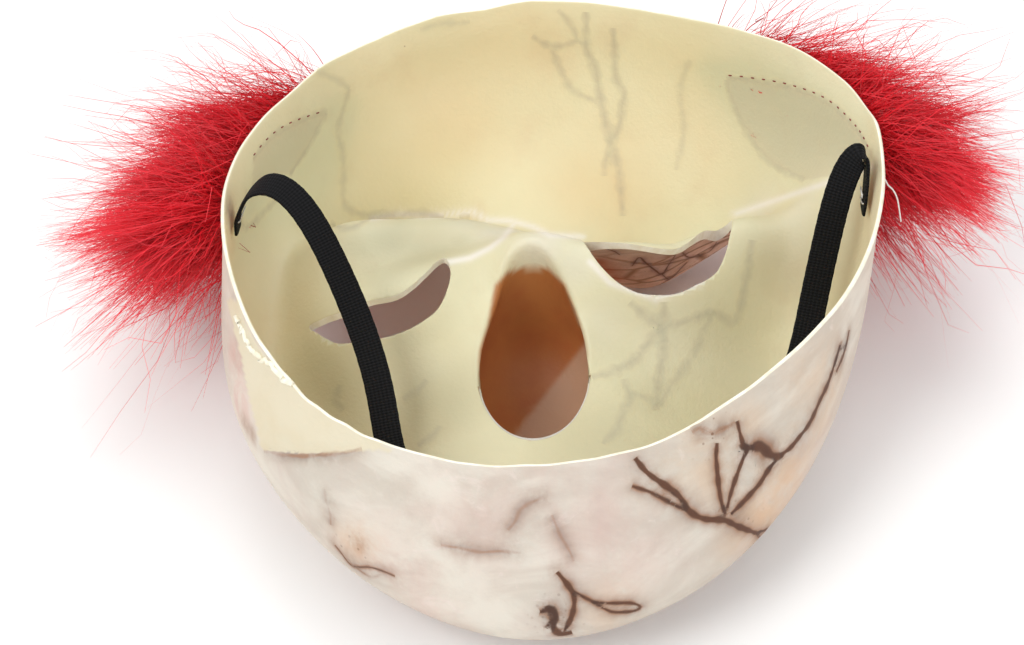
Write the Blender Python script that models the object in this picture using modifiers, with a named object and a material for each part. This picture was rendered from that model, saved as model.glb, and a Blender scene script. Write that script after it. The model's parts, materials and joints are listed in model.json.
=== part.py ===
"""A latex horror mask lying face down: hollow shell, elastic head strap and two hair tufts.

The mask rests on its nose tip and its two brows. +Z leaves the open back, the chin is
towards -Y and the forehead towards +Y. Design coordinates put the floor at Z = 0 and the
bridge of the nose near X = 0. At the end everything is moved to the middle of its own box.
"""
import math

import bpy
import numpy as np
from mathutils import Matrix, Vector
from mathutils.bvhtree import BVHTree

# Driving sizes of the shell, in metres
HALF_WIDTH = 0.093
HALF_LENGTH = 0.105
DEPTH = 0.072
LATEX_WALL = 0.002
FIT_GAP = 0.0004
MM = 0.001

# The shell is a net of rings around a pole in the middle of the face
POLE_SHARE_Y = -0.2
RIM_POINTS = 56
WALL_RINGS = 27
NOSE_RINGS = 6
RING_CROWDING = 1.25
SOFTENING_PASSES = 4

# One row per 30 degrees, anticlockwise from +X. Reaches are shares of the half sizes,
# heights are shares of the depth.
# rim reach, rim height, wall reach, wall height, jowl reach, height, cheek reach, height
WALL_TABLE = (
    (1.050, 1.000, 1.010, 0.50, 0.83, 0.17, 0.50, 0.30),
    (1.210, 0.960, 1.130, 0.50, 0.90, 0.18, 0.50, 0.28),
    (1.140, 0.890, 1.080, 0.52, 0.86, 0.22, 0.46, 0.24),
    (1.130, 0.860, 1.060, 0.54, 0.84, 0.24, 0.46, 0.24),
    (1.100, 0.890, 1.045, 0.52, 0.84, 0.22, 0.46, 0.24),
    (1.015, 0.960, 0.985, 0.50, 0.84, 0.18, 0.50, 0.28),
    (0.860, 1.000, 0.945, 0.50, 0.82, 0.18, 0.50, 0.30),
    (0.745, 0.920, 0.870, 0.54, 0.79, 0.24, 0.48, 0.32),
    (0.655, 0.870, 0.825, 0.52, 0.80, 0.24, 0.46, 0.36),
    (0.630, 0.860, 0.820, 0.46, 0.84, 0.22, 0.46, 0.36),
    (0.690, 0.875, 0.860, 0.50, 0.85, 0.24, 0.46, 0.36),
    (0.830, 0.950, 0.935, 0.50, 0.82, 0.20, 0.48, 0.32),
)

# Where the hollow nose leaves the face: an egg, narrow end up
# Places are shares of half width, half length and depth; the dent is a share of its width
NOSE_NECK_HALF_WIDTH = 0.0153
NOSE_NECK_HALF_LENGTH = 0.0255
NOSE_NECK = dict(x=0.011, y=-0.2, z=0.458, slope=0.353,
                 egg=0.14, dent=0.105, dent_angle=150.0, dent_spread=22.0)
# The ball of the nose ends in the small flat it rests on
NOSE_BALL_HALF_WIDTH = 0.022
NOSE_BALL_HALF_LENGTH = 0.026
NOSE_BALL_HALF_DEPTH = 0.022
NOSE_BALL = dict(y=-0.219, first_angle=48.0, last_angle=164.5, blend=0.4)

# Bumps of the face: centre, reach and push, as shares of half width, half length and depth
FACE_TABLE = (
    ("brow_right", (0.480, 0.360, 0.194), (0.430, 0.240, 1.250), (0.000, -0.035, -0.294)),
    ("brow_left", (-0.495, 0.495, 0.194), (0.409, 0.257, 1.250), (0.000, 0.010, -0.390)),
    ("glabella", (0.000, 0.419, 0.222), (0.280, 0.210, 1.250), (0.000, 0.019, -0.111)),
    ("lid_right", (0.387, 0.057, 0.333), (0.409, 0.210, 1.250), (0.000, 0.000, 0.375)),
    ("lid_right_outer", (0.640, 0.235, 0.333), (0.300, 0.180, 1.250), (0.000, 0.000, 0.600)),
    ("fold_right", (0.914, 0.190, 0.472), (0.344, 0.190, 0.833), (-0.032, 0.000, 0.480)),
    ("lid_left", (-0.495, 0.095, 0.333), (0.516, 0.381, 1.250), (0.000, 0.000, 0.278)),
    ("lid_left_low", (-0.495, -0.057, 0.333), (0.387, 0.171, 1.250), (0.000, 0.000, 0.111)),
    ("lid_left_inner", (-0.258, 0.076, 0.333), (0.194, 0.171, 1.250), (0.000, 0.000, 0.083)),
    ("ridge_left", (-0.323, 0.305, 0.194), (0.516, 0.190, 1.250), (0.000, 0.000, 0.319)),
    ("ridge_left_outer", (-0.645, 0.286, 0.278), (0.258, 0.229, 1.250), (0.000, 0.000, 0.264)),
    ("bridge", (0.000, 0.152, 0.361), (0.301, 0.229, 1.250), (0.000, 0.000, 0.236)),
    ("cheek_right", (0.559, -0.381, 0.194), (0.323, 0.248, 0.417), (0.022, -0.019, -0.097)),
    ("cheek_left", (-0.559, -0.400, 0.194), (0.323, 0.248, 0.417), (-0.022, -0.019, -0.097)),
    ("mouth", (0.000, -0.686, 0.194), (0.495, 0.095, 0.556), (0.000, 0.000, 0.111)),
)

# Outlines of the crescent eye holes, as shares of half width and half length
EYE_RIGHT = (
    (0.167, 0.133), (0.204, 0.030), (0.258, -0.030), (0.328, -0.058), (0.398, -0.058),
    (0.468, -0.040), (0.538, 0.008), (0.593, 0.057), (0.633, 0.124), (0.652, 0.196),
    (0.645, 0.256), (0.602, 0.264), (0.562, 0.204), (0.518, 0.138), (0.473, 0.086),
    (0.430, 0.065), (0.376, 0.057), (0.312, 0.065), (0.247, 0.086),
)
EYE_LEFT = (
    (-0.704, -0.005), (-0.668, -0.052), (-0.608, -0.105), (-0.538, -0.129), (-0.462, -0.138),
    (-0.392, -0.133), (-0.328, -0.114), (-0.274, -0.081), (-0.242, -0.024), (-0.237, 0.033),
    (-0.263, 0.081), (-0.312, 0.014), (-0.360, -0.029), (-0.414, -0.050), (-0.489, -0.046),
    (-0.575, -0.038), (-0.651, -0.014),
)
# Lower and upper end of their straight cut, as shares of the depth
EYE_CUT = (0.22, 0.86)

# Flat elastic strap: 8 mm wide, sewn inside the left and right temple
STRAP_WIDTH = 0.008
STRAP_THICKNESS = 0.0012
STRAP_STEPS = 58
STRAP_PASSES = 48
STRAP_ROOM = 0.0008
# centre as shares of half width, half length and depth, then the direction of its width
STRAP_TABLE = (
    (-0.898, 0.090, 0.830, 0.05, 0.97, -0.22),
    (-0.880, 0.108, 0.935, 0.20, 0.96, -0.10),
    (-0.826, 0.118, 1.060, 0.45, 0.88, 0.10),
    (-0.753, 0.092, 1.130, 0.45, 0.88, 0.15),
    (-0.680, 0.040, 1.120, 0.50, 0.84, 0.20),
    (-0.620, -0.022, 1.050, 0.62, 0.76, 0.20),
    (-0.576, -0.096, 0.931, 0.74, 0.66, 0.10),
    (-0.531, -0.155, 0.806, 0.86, 0.50, 0.05),
    (-0.494, -0.223, 0.694, 0.95, 0.30, 0.05),
    (-0.460, -0.300, 0.597, 0.99, 0.12, 0.05),
    (-0.438, -0.385, 0.530, 0.99, 0.02, 0.05),
    (-0.432, -0.475, 0.475, 0.99, 0.02, 0.05),
    (-0.428, -0.565, 0.430, 0.97, 0.22, 0.05),
    (-0.385, -0.645, 0.400, 0.80, 0.58, 0.05),
    (-0.280, -0.695, 0.405, 0.50, 0.86, 0.05),
    (-0.120, -0.718, 0.415, 0.20, 0.97, 0.10),
    (0.060, -0.720, 0.415, -0.05, 0.99, 0.10),
    (0.240, -0.695, 0.405, -0.30, 0.95, 0.10),
    (0.425, -0.660, 0.378, -0.52, 0.85, 0.05),
    (0.595, -0.575, 0.355, -0.66, 0.75, 0.05),
    (0.728, -0.465, 0.350, -0.74, 0.66, 0.08),
    (0.812, -0.338, 0.372, -0.82, 0.52, 0.12),
    (0.852, -0.222, 0.434, -0.88, 0.34, 0.20),
    (0.873, -0.127, 0.530, -0.90, 0.22, 0.22),
    (0.903, -0.077, 0.630, -0.90, 0.17, 0.22),
    (0.930, -0.033, 0.740, -0.90, 0.17, 0.22),
    (0.953, 0.015, 0.855, -0.88, 0.22, 0.22),
    (0.983, 0.068, 0.965, -0.80, 0.45, 0.20),
    (1.028, 0.112, 1.050, -0.60, 0.74, 0.10),
    (1.075, 0.118, 1.060, -0.30, 0.93, 0.00),
    (1.098, 0.085, 0.985, -0.05, 0.97, -0.20),
    (1.092, 0.045, 0.895, 0.00, 0.96, -0.28),
    (1.078, 0.020, 0.825, 0.00, 0.96, -0.28),
)

# Hair: a leaf-shaped pad on each temple, then locks as tapering tubes
# The leaf's run is counted along the rim in degrees, its drop from the rim in shares
PAD_THICKNESS = 0.0022
PAD_STEPS = 14
LOCK_SIDES = 6
LOCK_STEPS = 5
SIDEWAYS = 0.7
# first and last angle, drops at the ends, upper and lower drop in the middle, way out,
# reach of the locks, and their lean to the forehead, as a share of the lock length
PAD_RIGHT = dict(first=22.0, last=59.0, start=0.07, end=0.13, top=0.06, bottom=0.27,
                 way=1, reach=1.0, lean=-0.30)
PAD_LEFT = dict(first=158.0, last=121.0, start=0.08, end=0.13, top=0.06, bottom=0.27,
                way=-1, reach=1.15, lean=-0.02)
LOCK_LENGTH = 0.049
LOCK_RADIUS = 0.0055
# Share along the leaf and down it, then length, root radius (a share of the radius above),
# drift, rise and sag, all but the radius as shares of the length above
LOCK_TABLE = (
    (0.07, 0.50, 0.61, 0.73, -0.39, -0.18, -0.06),
    (0.15, 0.35, 0.73, 0.82, -0.31, 0.18, -0.04),
    (0.18, 0.72, 0.71, 0.82, -0.35, -0.29, -0.08),
    (0.30, 0.25, 0.80, 0.91, -0.16, 0.29, 0.02),
    (0.31, 0.52, 0.94, 1.00, -0.20, 0.04, -0.04),
    (0.33, 0.80, 0.78, 0.91, -0.20, -0.37, -0.10),
    (0.46, 0.26, 0.84, 0.91, -0.04, 0.31, 0.04),
    (0.47, 0.52, 1.00, 1.00, -0.04, 0.10, -0.02),
    (0.49, 0.80, 0.86, 0.91, -0.06, -0.27, -0.10),
    (0.61, 0.26, 0.78, 0.91, 0.10, 0.27, 0.04),
    (0.62, 0.52, 0.94, 1.00, 0.10, 0.06, -0.02),
    (0.65, 0.78, 0.80, 0.91, 0.12, -0.29, -0.08),
    (0.77, 0.34, 0.71, 0.82, 0.24, 0.18, 0.00),
    (0.80, 0.64, 0.73, 0.82, 0.24, -0.12, -0.06),
    (0.92, 0.50, 0.55, 0.73, 0.31, 0.06, -0.04),
)


def cubic(p0, p1, p2, p3, t):
    """Catmull-Rom between p1 and p2."""
    return 0.5 * (2 * p1 + (p2 - p0) * t + (2 * p0 - 5 * p1 + 4 * p2 - p3) * t * t
                  + (3 * p1 - p0 - 3 * p2 + p3) * t ** 3)


def through_ring(rows, angles):
    """Rows spaced evenly round a turn, read at the angles given in degrees."""
    rows = np.array(rows, float)
    place = np.asarray(angles, float) / 360.0 * len(rows)
    low = np.floor(place).astype(int)
    part = (place - low)[:, None]
    around = [rows[(low + k) % len(rows)] for k in (-1, 0, 1, 2)]
    return cubic(*around, part)


def through_knots(knots, shares):
    """A smooth open run through the knots, read at shares from 0 to 1."""
    knots = np.asarray(knots, float)
    ends = (2 * knots[:1] - knots[1:2], knots, 2 * knots[-1:] - knots[-2:-1])
    held = np.concatenate(ends)
    place = np.asarray(shares, float) * (len(knots) - 1)
    low = np.minimum(place.astype(int), len(knots) - 2)
    part = (place - low).reshape((-1,) + (1,) * (knots.ndim - 1))
    return cubic(*[held[low + k] for k in range(4)], part)


def neck_ring(angles):
    """The egg-shaped edge where the nose cavity opens."""
    n = NOSE_NECK
    x = n["x"] * HALF_WIDTH
    x = x + NOSE_NECK_HALF_WIDTH * np.cos(angles) * (1 - n["egg"] * np.sin(angles))
    away = (np.degrees(angles) - n["dent_angle"]) / n["dent_spread"]
    x = x + n["dent"] * NOSE_NECK_HALF_WIDTH * np.exp(-away ** 2)
    rise = NOSE_NECK_HALF_LENGTH * np.sin(angles)
    return np.stack([x, n["y"] * HALF_LENGTH + rise, n["z"] * DEPTH + n["slope"] * rise], -1)


def nose_rings(neck, angles):
    """Rings of the round nose, blended out of the neck and closing at its resting flat."""
    b = NOSE_BALL
    flat = math.radians(b["last_angle"])
    rings = []
    for i in range(1, NOSE_RINGS + 1):
        share = i / NOSE_RINGS
        polar = math.radians(b["first_angle"] + (b["last_angle"] - b["first_angle"]) * share)
        ball = np.stack([
            NOSE_NECK["x"] * HALF_WIDTH
            + NOSE_BALL_HALF_WIDTH * math.sin(polar) * np.cos(angles),
            b["y"] * HALF_LENGTH + NOSE_BALL_HALF_LENGTH * math.sin(polar) * np.sin(angles),
            np.full_like(angles, NOSE_BALL_HALF_DEPTH * (math.cos(polar) - math.cos(flat))),
        ], -1)
        blend = min(share / b["blend"], 1.0)
        blend = blend * blend * (3 - 2 * blend)
        rings.append(neck * (1 - blend) + ball * blend)
    return np.array(rings)


def face_net():
    """The shell's middle surface as rings of points, from the rim to the nose tip."""
    angles = np.linspace(0, 2 * math.pi, RIM_POINTS, endpoint=False)
    table = through_ring(WALL_TABLE, np.degrees(angles))
    knots = []
    for column in range(0, 8, 2):
        reach, height = table[:, column], table[:, column + 1]
        knots.append(np.stack([
            HALF_WIDTH * reach * np.cos(angles),
            HALF_LENGTH * (POLE_SHARE_Y + reach * np.sin(angles)),
            DEPTH * height,
        ], -1))
    neck = neck_ring(angles)
    knots.append(neck)
    shares = 1 - (1 - np.linspace(0, 1, WALL_RINGS)) ** RING_CROWDING
    net = through_knots(knots, shares)
    net = net + face_push(net)
    for _ in range(SOFTENING_PASSES):
        inner = net[1:-1]
        beside = np.roll(net, 1, 1)[1:-1] + np.roll(net, -1, 1)[1:-1]
        net[1:-1] = 0.5 * inner + 0.125 * (net[:-2] + net[2:] + beside)
    net = np.concatenate([net, nose_rings(net[-1], angles)])
    net[..., 2] = np.maximum(net[..., 2], 0.0)
    return net


def face_push(net):
    """How far the bumps of the face table move each point."""
    sizes = np.array((HALF_WIDTH, HALF_LENGTH, DEPTH))
    moved = np.zeros_like(net)
    for _name, centre, reach, push in FACE_TABLE:
        away = (net / sizes - centre) / reach
        near = np.clip(1 - (away ** 2).sum(-1), 0, None) ** 2
        moved += near[..., None] * push * sizes
    return moved


def new_object(name, vertices, faces, material, collection, smooth=True):
    mesh = bpy.data.meshes.new(name)
    mesh.from_pydata([tuple(map(float, v)) for v in vertices], [], faces)
    mesh.materials.append(material)
    mesh.polygons.foreach_set("use_smooth", [smooth] * len(mesh.polygons))
    mesh.update()
    piece = bpy.data.objects.new(name, mesh)
    collection.objects.link(piece)
    return piece


def material(name, colour, roughness):
    made = bpy.data.materials.new(name)
    made.use_nodes = True
    shader = made.node_tree.nodes["Principled BSDF"]
    shader.inputs["Base Color"].default_value = (*colour, 1.0)
    shader.inputs["Roughness"].default_value = roughness
    made.diffuse_color = (*colour, 1.0)
    return made


def prism(name, outline, paint, collection):
    """A straight cutter over an outline given in shares."""
    count = len(outline)
    points = [(x * HALF_WIDTH, y * HALF_LENGTH, z * DEPTH) for z in EYE_CUT for x, y in outline]
    turn = sum(x0 * y1 - x1 * y0 for (x0, y0), (x1, y1)
               in zip(outline, outline[1:] + outline[:1]))
    sides = [(i, (i + 1) % count, count + (i + 1) % count, count + i) for i in range(count)]
    faces = [tuple(range(count))[::-1], tuple(range(count, 2 * count))] + sides
    if turn < 0:
        faces = [face[::-1] for face in faces]
    return new_object(name, points, faces, paint, collection, smooth=False)


def net_mesh(net):
    """The net's points and triangles, split the short way, with the outside outwards."""
    rings, around = net.shape[:2]
    points = net.reshape(-1, 3)
    faces = []
    for i in range(rings - 1):
        for j in range(around):
            k = (j + 1) % around
            a, b = i * around + j, (i + 1) * around + j
            c, d = (i + 1) * around + k, i * around + k
            if np.linalg.norm(points[a] - points[c]) < np.linalg.norm(points[b] - points[d]):
                faces += [(a, b, c), (a, c, d)]
            else:
                faces += [(a, b, d), (b, c, d)]
    faces.append(tuple((rings - 1) * around + j for j in range(around))[::-1])
    return points, faces


def make_shell(net, paint, shapes, cutters):
    """The latex casting: one net, thickened, with both eye holes cut through it."""
    points, faces = net_mesh(net)
    shell = new_object("mask_shell", points, faces, paint, shapes)
    wall = shell.modifiers.new("latex_wall", "SOLIDIFY")
    wall.thickness = LATEX_WALL
    wall.offset = 0.0
    for name, outline in (("eye_cut_right", EYE_RIGHT), ("eye_cut_left", EYE_LEFT)):
        cutter = prism(name, outline, paint, cutters)
        cutter.hide_render = True
        cutter.display_type = "WIRE"
        cut = shell.modifiers.new(name, "BOOLEAN")
        cut.operation = "DIFFERENCE"
        cut.solver = "EXACT"
        cut.object = cutter
    return shell


def strap_corners(centre, across):
    """Both sides of the band at each step, square to its run."""
    run = np.gradient(centre, axis=0)
    run /= np.linalg.norm(run, axis=1)[:, None]
    across = across - (across * run).sum(1)[:, None] * run
    across /= np.linalg.norm(across, axis=1)[:, None]
    up = np.cross(across, run)
    corners = ((-1, -1), (1, -1), (1, 1), (-1, 1))
    return np.stack([centre + across * a * STRAP_WIDTH / 2 + up * b * STRAP_THICKNESS / 2
                     for a, b in corners], 1)


def keep_inside(centre, across, surface):
    """Eases the band and moves it off the latex wherever an edge comes too close to it."""
    least = LATEX_WALL / 2 + STRAP_ROOM
    for number in range(STRAP_PASSES):
        if number < STRAP_PASSES - 20:
            eased = centre.copy()
            eased[2:-2] = 0.5 * centre[2:-2] + 0.25 * (centre[1:-3] + centre[3:-1])
            centre = 0.7 * centre + 0.3 * eased
        corners = strap_corners(centre, across)
        moved = np.zeros_like(centre)
        for i, around in enumerate(corners):
            worst = 0.0
            for corner in list(around) + list((around + np.roll(around, 1, 0)) / 2):
                place, out, _face, _far = surface.find_nearest(Vector(corner))
                room = -(Vector(corner) - place).dot(out)
                if least - room > worst:
                    worst = least - room
                    moved[i] = -np.array(out) * worst
        spread = moved.copy()
        beside = 0.5 * (moved[:-2] + moved[2:])
        spread[1:-1] = np.where(moved[1:-1].any(1)[:, None], moved[1:-1], beside)
        centre = centre + spread
    return centre


def make_strap(net, paint, shapes):
    """The elastic as one whole band of its real length, swept along its table."""
    rows = through_knots(STRAP_TABLE, np.linspace(0, 1, STRAP_STEPS + 1))
    points, faces = net_mesh(net)
    surface = BVHTree.FromPolygons([Vector(p) for p in points], faces)
    centre = rows[:, :3] * np.array((HALF_WIDTH, HALF_LENGTH, DEPTH))
    centre = keep_inside(centre, rows[:, 3:], surface)
    corners = strap_corners(centre, rows[:, 3:])
    faces = [(0, 1, 2, 3)]
    for i in range(len(rows) - 1):
        for c in range(4):
            d = (c + 1) % 4
            faces.append((4 * i + c, 4 * i + 4 + c, 4 * i + 4 + d, 4 * i + d))
    last = 4 * (len(rows) - 1)
    faces.append((last + 3, last + 2, last + 1, last))
    length = np.linalg.norm(np.diff(centre, axis=0), axis=1).sum()
    print("strap length in mm", round(length / MM, 1))
    return new_object("elastic_strap", corners.reshape(-1, 3), faces, paint, shapes, False)


def wall_outside(net, degrees, drop):
    """A point of the net's wall and the direction out of the mask there."""
    around = net.shape[1]
    place = degrees / 360.0 * around
    low = int(math.floor(place))
    part = place - low
    column = net[:, low % around] * (1 - part) + net[:, (low + 1) % around] * part
    before = net[:, (low - 1) % around]
    after = net[:, (low + 2) % around]
    ring = np.clip(np.interp(drop, net_drops(net), np.arange(WALL_RINGS)), 0, WALL_RINGS - 2)
    row = int(ring)
    rest = ring - row
    point = column[row] * (1 - rest) + column[row + 1] * rest
    down = column[min(row + 2, WALL_RINGS - 1)] - column[max(row - 1, 0)]
    side = (after - before)[row]
    out = np.cross(side, down)
    out /= np.linalg.norm(out)
    if np.dot(out[:2], point[:2]) < 0:
        out = -out
    return point, out


def net_drops(net):
    """Each wall ring's distance from the rim, as a share of the whole way to the neck."""
    return 1 - (1 - np.linspace(0, 1, WALL_RINGS)) ** RING_CROWDING


def pad_place(pad, net, along, down):
    """A point of the wall under the leaf-shaped pad and the direction out of it."""
    width = math.sin(math.pi * min(max(along, 0.02), 0.98)) ** 0.7
    ends = pad["start"] + (pad["end"] - pad["start"]) * along
    high = ends + (pad["top"] - ends) * width
    low = ends + 0.012 + (pad["bottom"] - ends) * width
    degrees = pad["first"] + (pad["last"] - pad["first"]) * along
    return wall_outside(net, degrees, high + (low - high) * down)


def make_tuft(name, pad, net, paint, shapes, locks):
    """A leaf-shaped pad lying on the wall with locks of hair fused to it."""
    lift = LATEX_WALL / 2 + FIT_GAP
    inner, outer = [], []
    for i in range(PAD_STEPS + 1):
        for k in range(5):
            point, out = pad_place(pad, net, i / PAD_STEPS, k / 4)
            inner.append(point + out * lift)
            outer.append(point + out * (lift + PAD_THICKNESS))
    faces = []
    count = len(inner)
    for i in range(PAD_STEPS):
        for k in range(4):
            a = 5 * i + k
            faces.append((a, a + 1, a + 6, a + 5))
            faces.append((count + a, count + a + 5, count + a + 6, count + a + 1))
        for a, b in ((5 * i, 5 * i + 5), (5 * i + 9, 5 * i + 4)):
            faces.append((a, b, count + b, count + a))
    for k in range(4):
        faces.append((k, count + k, count + k + 1, k + 1))
        a = 5 * PAD_STEPS + k
        faces.append((a, a + 1, count + a + 1, count + a))
    if pad["way"] < 0:
        faces = [face[::-1] for face in faces]
    tuft = new_object(name, inner + outer, faces, paint, shapes)
    for number, row in enumerate(LOCK_TABLE):
        lock = make_lock(f"{name}_lock_{number:02d}", row, pad, net, paint, locks)
        lock.hide_render = True
        lock.display_type = "WIRE"
        fuse = tuft.modifiers.new(lock.name, "BOOLEAN")
        fuse.operation = "UNION"
        fuse.solver = "EXACT"
        fuse.object = lock
    return tuft


def make_lock(name, row, pad, net, paint, locks):
    """One tapering lock, rooted inside the pad, swept sideways and sagging at its tip."""
    along, down, length, radius, drift, rise, sag = row
    length = length * pad["reach"]
    root, out = pad_place(pad, net, along, down)
    start = root + out * (LATEX_WALL / 2 + FIT_GAP + PAD_THICKNESS * 0.45)
    ends = np.array((SIDEWAYS * pad["way"] * length, drift + pad["lean"], rise))
    points = []
    for i in range(LOCK_STEPS + 1):
        t = i / LOCK_STEPS
        middle = start + (out * length * (1 - SIDEWAYS) * t + ends * t ** 1.3) * LOCK_LENGTH
        middle[2] += sag * t * t * LOCK_LENGTH
        swell = 0.66 + 0.5 * math.sin(math.pi * t ** 0.8)
        size = LOCK_RADIUS * radius * (0.14 + swell * (1 - t ** 2.5))
        ahead = out * length * (1 - SIDEWAYS) + ends * 1.3 * t ** 0.3
        ahead[2] += 2 * sag * t
        ahead /= np.linalg.norm(ahead)
        first = np.cross(ahead, (0, 0, 1.0))
        first /= np.linalg.norm(first)
        second = np.cross(first, ahead)
        for j in range(LOCK_SIDES):
            turn = 2 * math.pi * j / LOCK_SIDES
            points.append(middle + (first * math.cos(turn) + second * math.sin(turn)) * size)
    faces = [tuple(range(LOCK_SIDES))]
    for i in range(LOCK_STEPS):
        for j in range(LOCK_SIDES):
            k = (j + 1) % LOCK_SIDES
            faces.append((LOCK_SIDES * i + j, LOCK_SIDES * (i + 1) + j,
                          LOCK_SIDES * (i + 1) + k, LOCK_SIDES * i + k))
    faces.append(tuple(LOCK_SIDES * LOCK_STEPS + j for j in range(LOCK_SIDES))[::-1])
    return new_object(name, points, faces, paint, locks)


def main():
    for piece in list(bpy.data.objects):
        bpy.data.objects.remove(piece, do_unlink=True)
    shapes = bpy.data.collections.new("horror_mask")
    cutters = bpy.data.collections.new("cutters")
    bpy.context.scene.collection.children.link(shapes)
    bpy.context.scene.collection.children.link(cutters)

    latex = material("latex_cream", (0.86, 0.78, 0.56), 0.55)
    elastic = material("elastic_black", (0.02, 0.02, 0.022), 0.8)
    hair = material("hair_red", (0.62, 0.02, 0.05), 0.6)

    net = face_net()
    made = [
        make_shell(net, latex, shapes, cutters),
        make_strap(net, elastic, shapes),
        make_tuft("hair_tuft_right", PAD_RIGHT, net, hair, shapes, cutters),
        make_tuft("hair_tuft_left", PAD_LEFT, net, hair, shapes, cutters),
    ]

    # Move everything so the origin is the middle of the bottom of the whole box
    bpy.context.view_layer.update()
    graph = bpy.context.evaluated_depsgraph_get()
    corners = []
    for piece in made:
        mesh = piece.evaluated_get(graph).to_mesh()
        found = np.empty(len(mesh.vertices) * 3)
        mesh.vertices.foreach_get("co", found)
        corners.append(found.reshape(-1, 3))
    corners = np.concatenate(corners)
    low, high = corners.min(0), corners.max(0)
    shift = Vector((-(low[0] + high[0]) / 2, -(low[1] + high[1]) / 2, -low[2]))
    for piece in list(shapes.objects) + list(cutters.objects):
        piece.data.transform(Matrix.Translation(shift))
    print("shift in mm", [round(v / MM, 4) for v in shift])


main()
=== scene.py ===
"""Looks of the horror mask: cream latex inside, stained white paint outside, elastic and hair.

The mask lies face down on a pale floor. Shapes are worked out in design coordinates, the
ones part.py uses, and moved to the row frame when each mesh is made.
"""
import math

import bpy
import numpy as np
from mathutils import Matrix, Vector
from mathutils.bvhtree import BVHTree
from mathutils.kdtree import KDTree
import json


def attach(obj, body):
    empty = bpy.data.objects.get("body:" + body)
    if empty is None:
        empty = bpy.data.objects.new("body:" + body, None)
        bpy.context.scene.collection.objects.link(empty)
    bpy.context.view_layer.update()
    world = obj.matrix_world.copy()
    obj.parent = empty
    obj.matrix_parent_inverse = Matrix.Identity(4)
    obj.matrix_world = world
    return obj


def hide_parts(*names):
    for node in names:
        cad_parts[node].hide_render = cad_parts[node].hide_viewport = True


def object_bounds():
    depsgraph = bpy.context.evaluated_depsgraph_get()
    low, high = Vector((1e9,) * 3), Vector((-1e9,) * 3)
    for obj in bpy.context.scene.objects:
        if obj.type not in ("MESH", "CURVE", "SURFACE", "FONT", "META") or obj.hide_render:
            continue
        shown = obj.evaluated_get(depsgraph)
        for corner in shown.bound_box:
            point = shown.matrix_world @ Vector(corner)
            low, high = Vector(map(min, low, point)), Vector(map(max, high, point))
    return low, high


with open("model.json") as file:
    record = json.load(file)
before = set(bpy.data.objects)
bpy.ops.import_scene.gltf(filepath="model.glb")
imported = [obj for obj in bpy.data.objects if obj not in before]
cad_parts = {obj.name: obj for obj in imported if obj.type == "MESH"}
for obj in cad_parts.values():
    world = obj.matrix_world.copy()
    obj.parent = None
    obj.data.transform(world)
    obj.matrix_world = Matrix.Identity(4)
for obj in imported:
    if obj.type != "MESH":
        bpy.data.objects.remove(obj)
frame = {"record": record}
cad_low, cad_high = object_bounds()

MM = 0.001
IMAGE_WIDTH = 1024
IMAGE_HEIGHT = 645

# Sizes shared with part.py
HALF_WIDTH = 0.093
HALF_LENGTH = 0.105
DEPTH = 0.072
SIZES = np.array((HALF_WIDTH, HALF_LENGTH, DEPTH))
LATEX_WALL = 0.002
POLE_SHARE_Y = -0.2
RIM_POINTS = 56
WALL_RINGS = 27
NOSE_RINGS = 6
RING_CROWDING = 1.25
SOFTENING_PASSES = 4
STRAP_WIDTH = 0.008
STRAP_THICKNESS = 0.0012
STRAP_STEPS = 58
STRAP_PASSES = 48
STRAP_ROOM = 0.0008
NOSE_NECK_HALF_WIDTH = 0.0153
NOSE_NECK_HALF_LENGTH = 0.0255
NOSE_BALL_HALF_WIDTH = 0.022
NOSE_BALL_HALF_LENGTH = 0.026
NOSE_BALL_HALF_DEPTH = 0.022

# One row per 30 degrees, anticlockwise from +X. Reaches are shares of the half sizes,
# heights are shares of the depth.
# rim reach, rim height, wall reach, wall height, jowl reach, height, cheek reach, height
WALL_TABLE = (
    (1.050, 1.000, 1.010, 0.50, 0.83, 0.17, 0.50, 0.30),
    (1.210, 0.960, 1.130, 0.50, 0.90, 0.18, 0.50, 0.28),
    (1.140, 0.890, 1.080, 0.52, 0.86, 0.22, 0.46, 0.24),
    (1.130, 0.860, 1.060, 0.54, 0.84, 0.24, 0.46, 0.24),
    (1.100, 0.890, 1.045, 0.52, 0.84, 0.22, 0.46, 0.24),
    (1.015, 0.960, 0.985, 0.50, 0.84, 0.18, 0.50, 0.28),
    (0.860, 1.000, 0.945, 0.50, 0.82, 0.18, 0.50, 0.30),
    (0.745, 0.920, 0.870, 0.54, 0.79, 0.24, 0.48, 0.32),
    (0.655, 0.870, 0.825, 0.52, 0.80, 0.24, 0.46, 0.36),
    (0.630, 0.860, 0.820, 0.46, 0.84, 0.22, 0.46, 0.36),
    (0.690, 0.875, 0.860, 0.50, 0.85, 0.24, 0.46, 0.36),
    (0.830, 0.950, 0.935, 0.50, 0.82, 0.20, 0.48, 0.32),
)
NOSE_NECK = dict(x=0.011, y=-0.2, z=0.458, slope=0.353,
                 egg=0.14, dent=0.105, dent_angle=150.0, dent_spread=22.0)
NOSE_BALL = dict(y=-0.219, first_angle=48.0, last_angle=164.5, blend=0.4)
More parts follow.
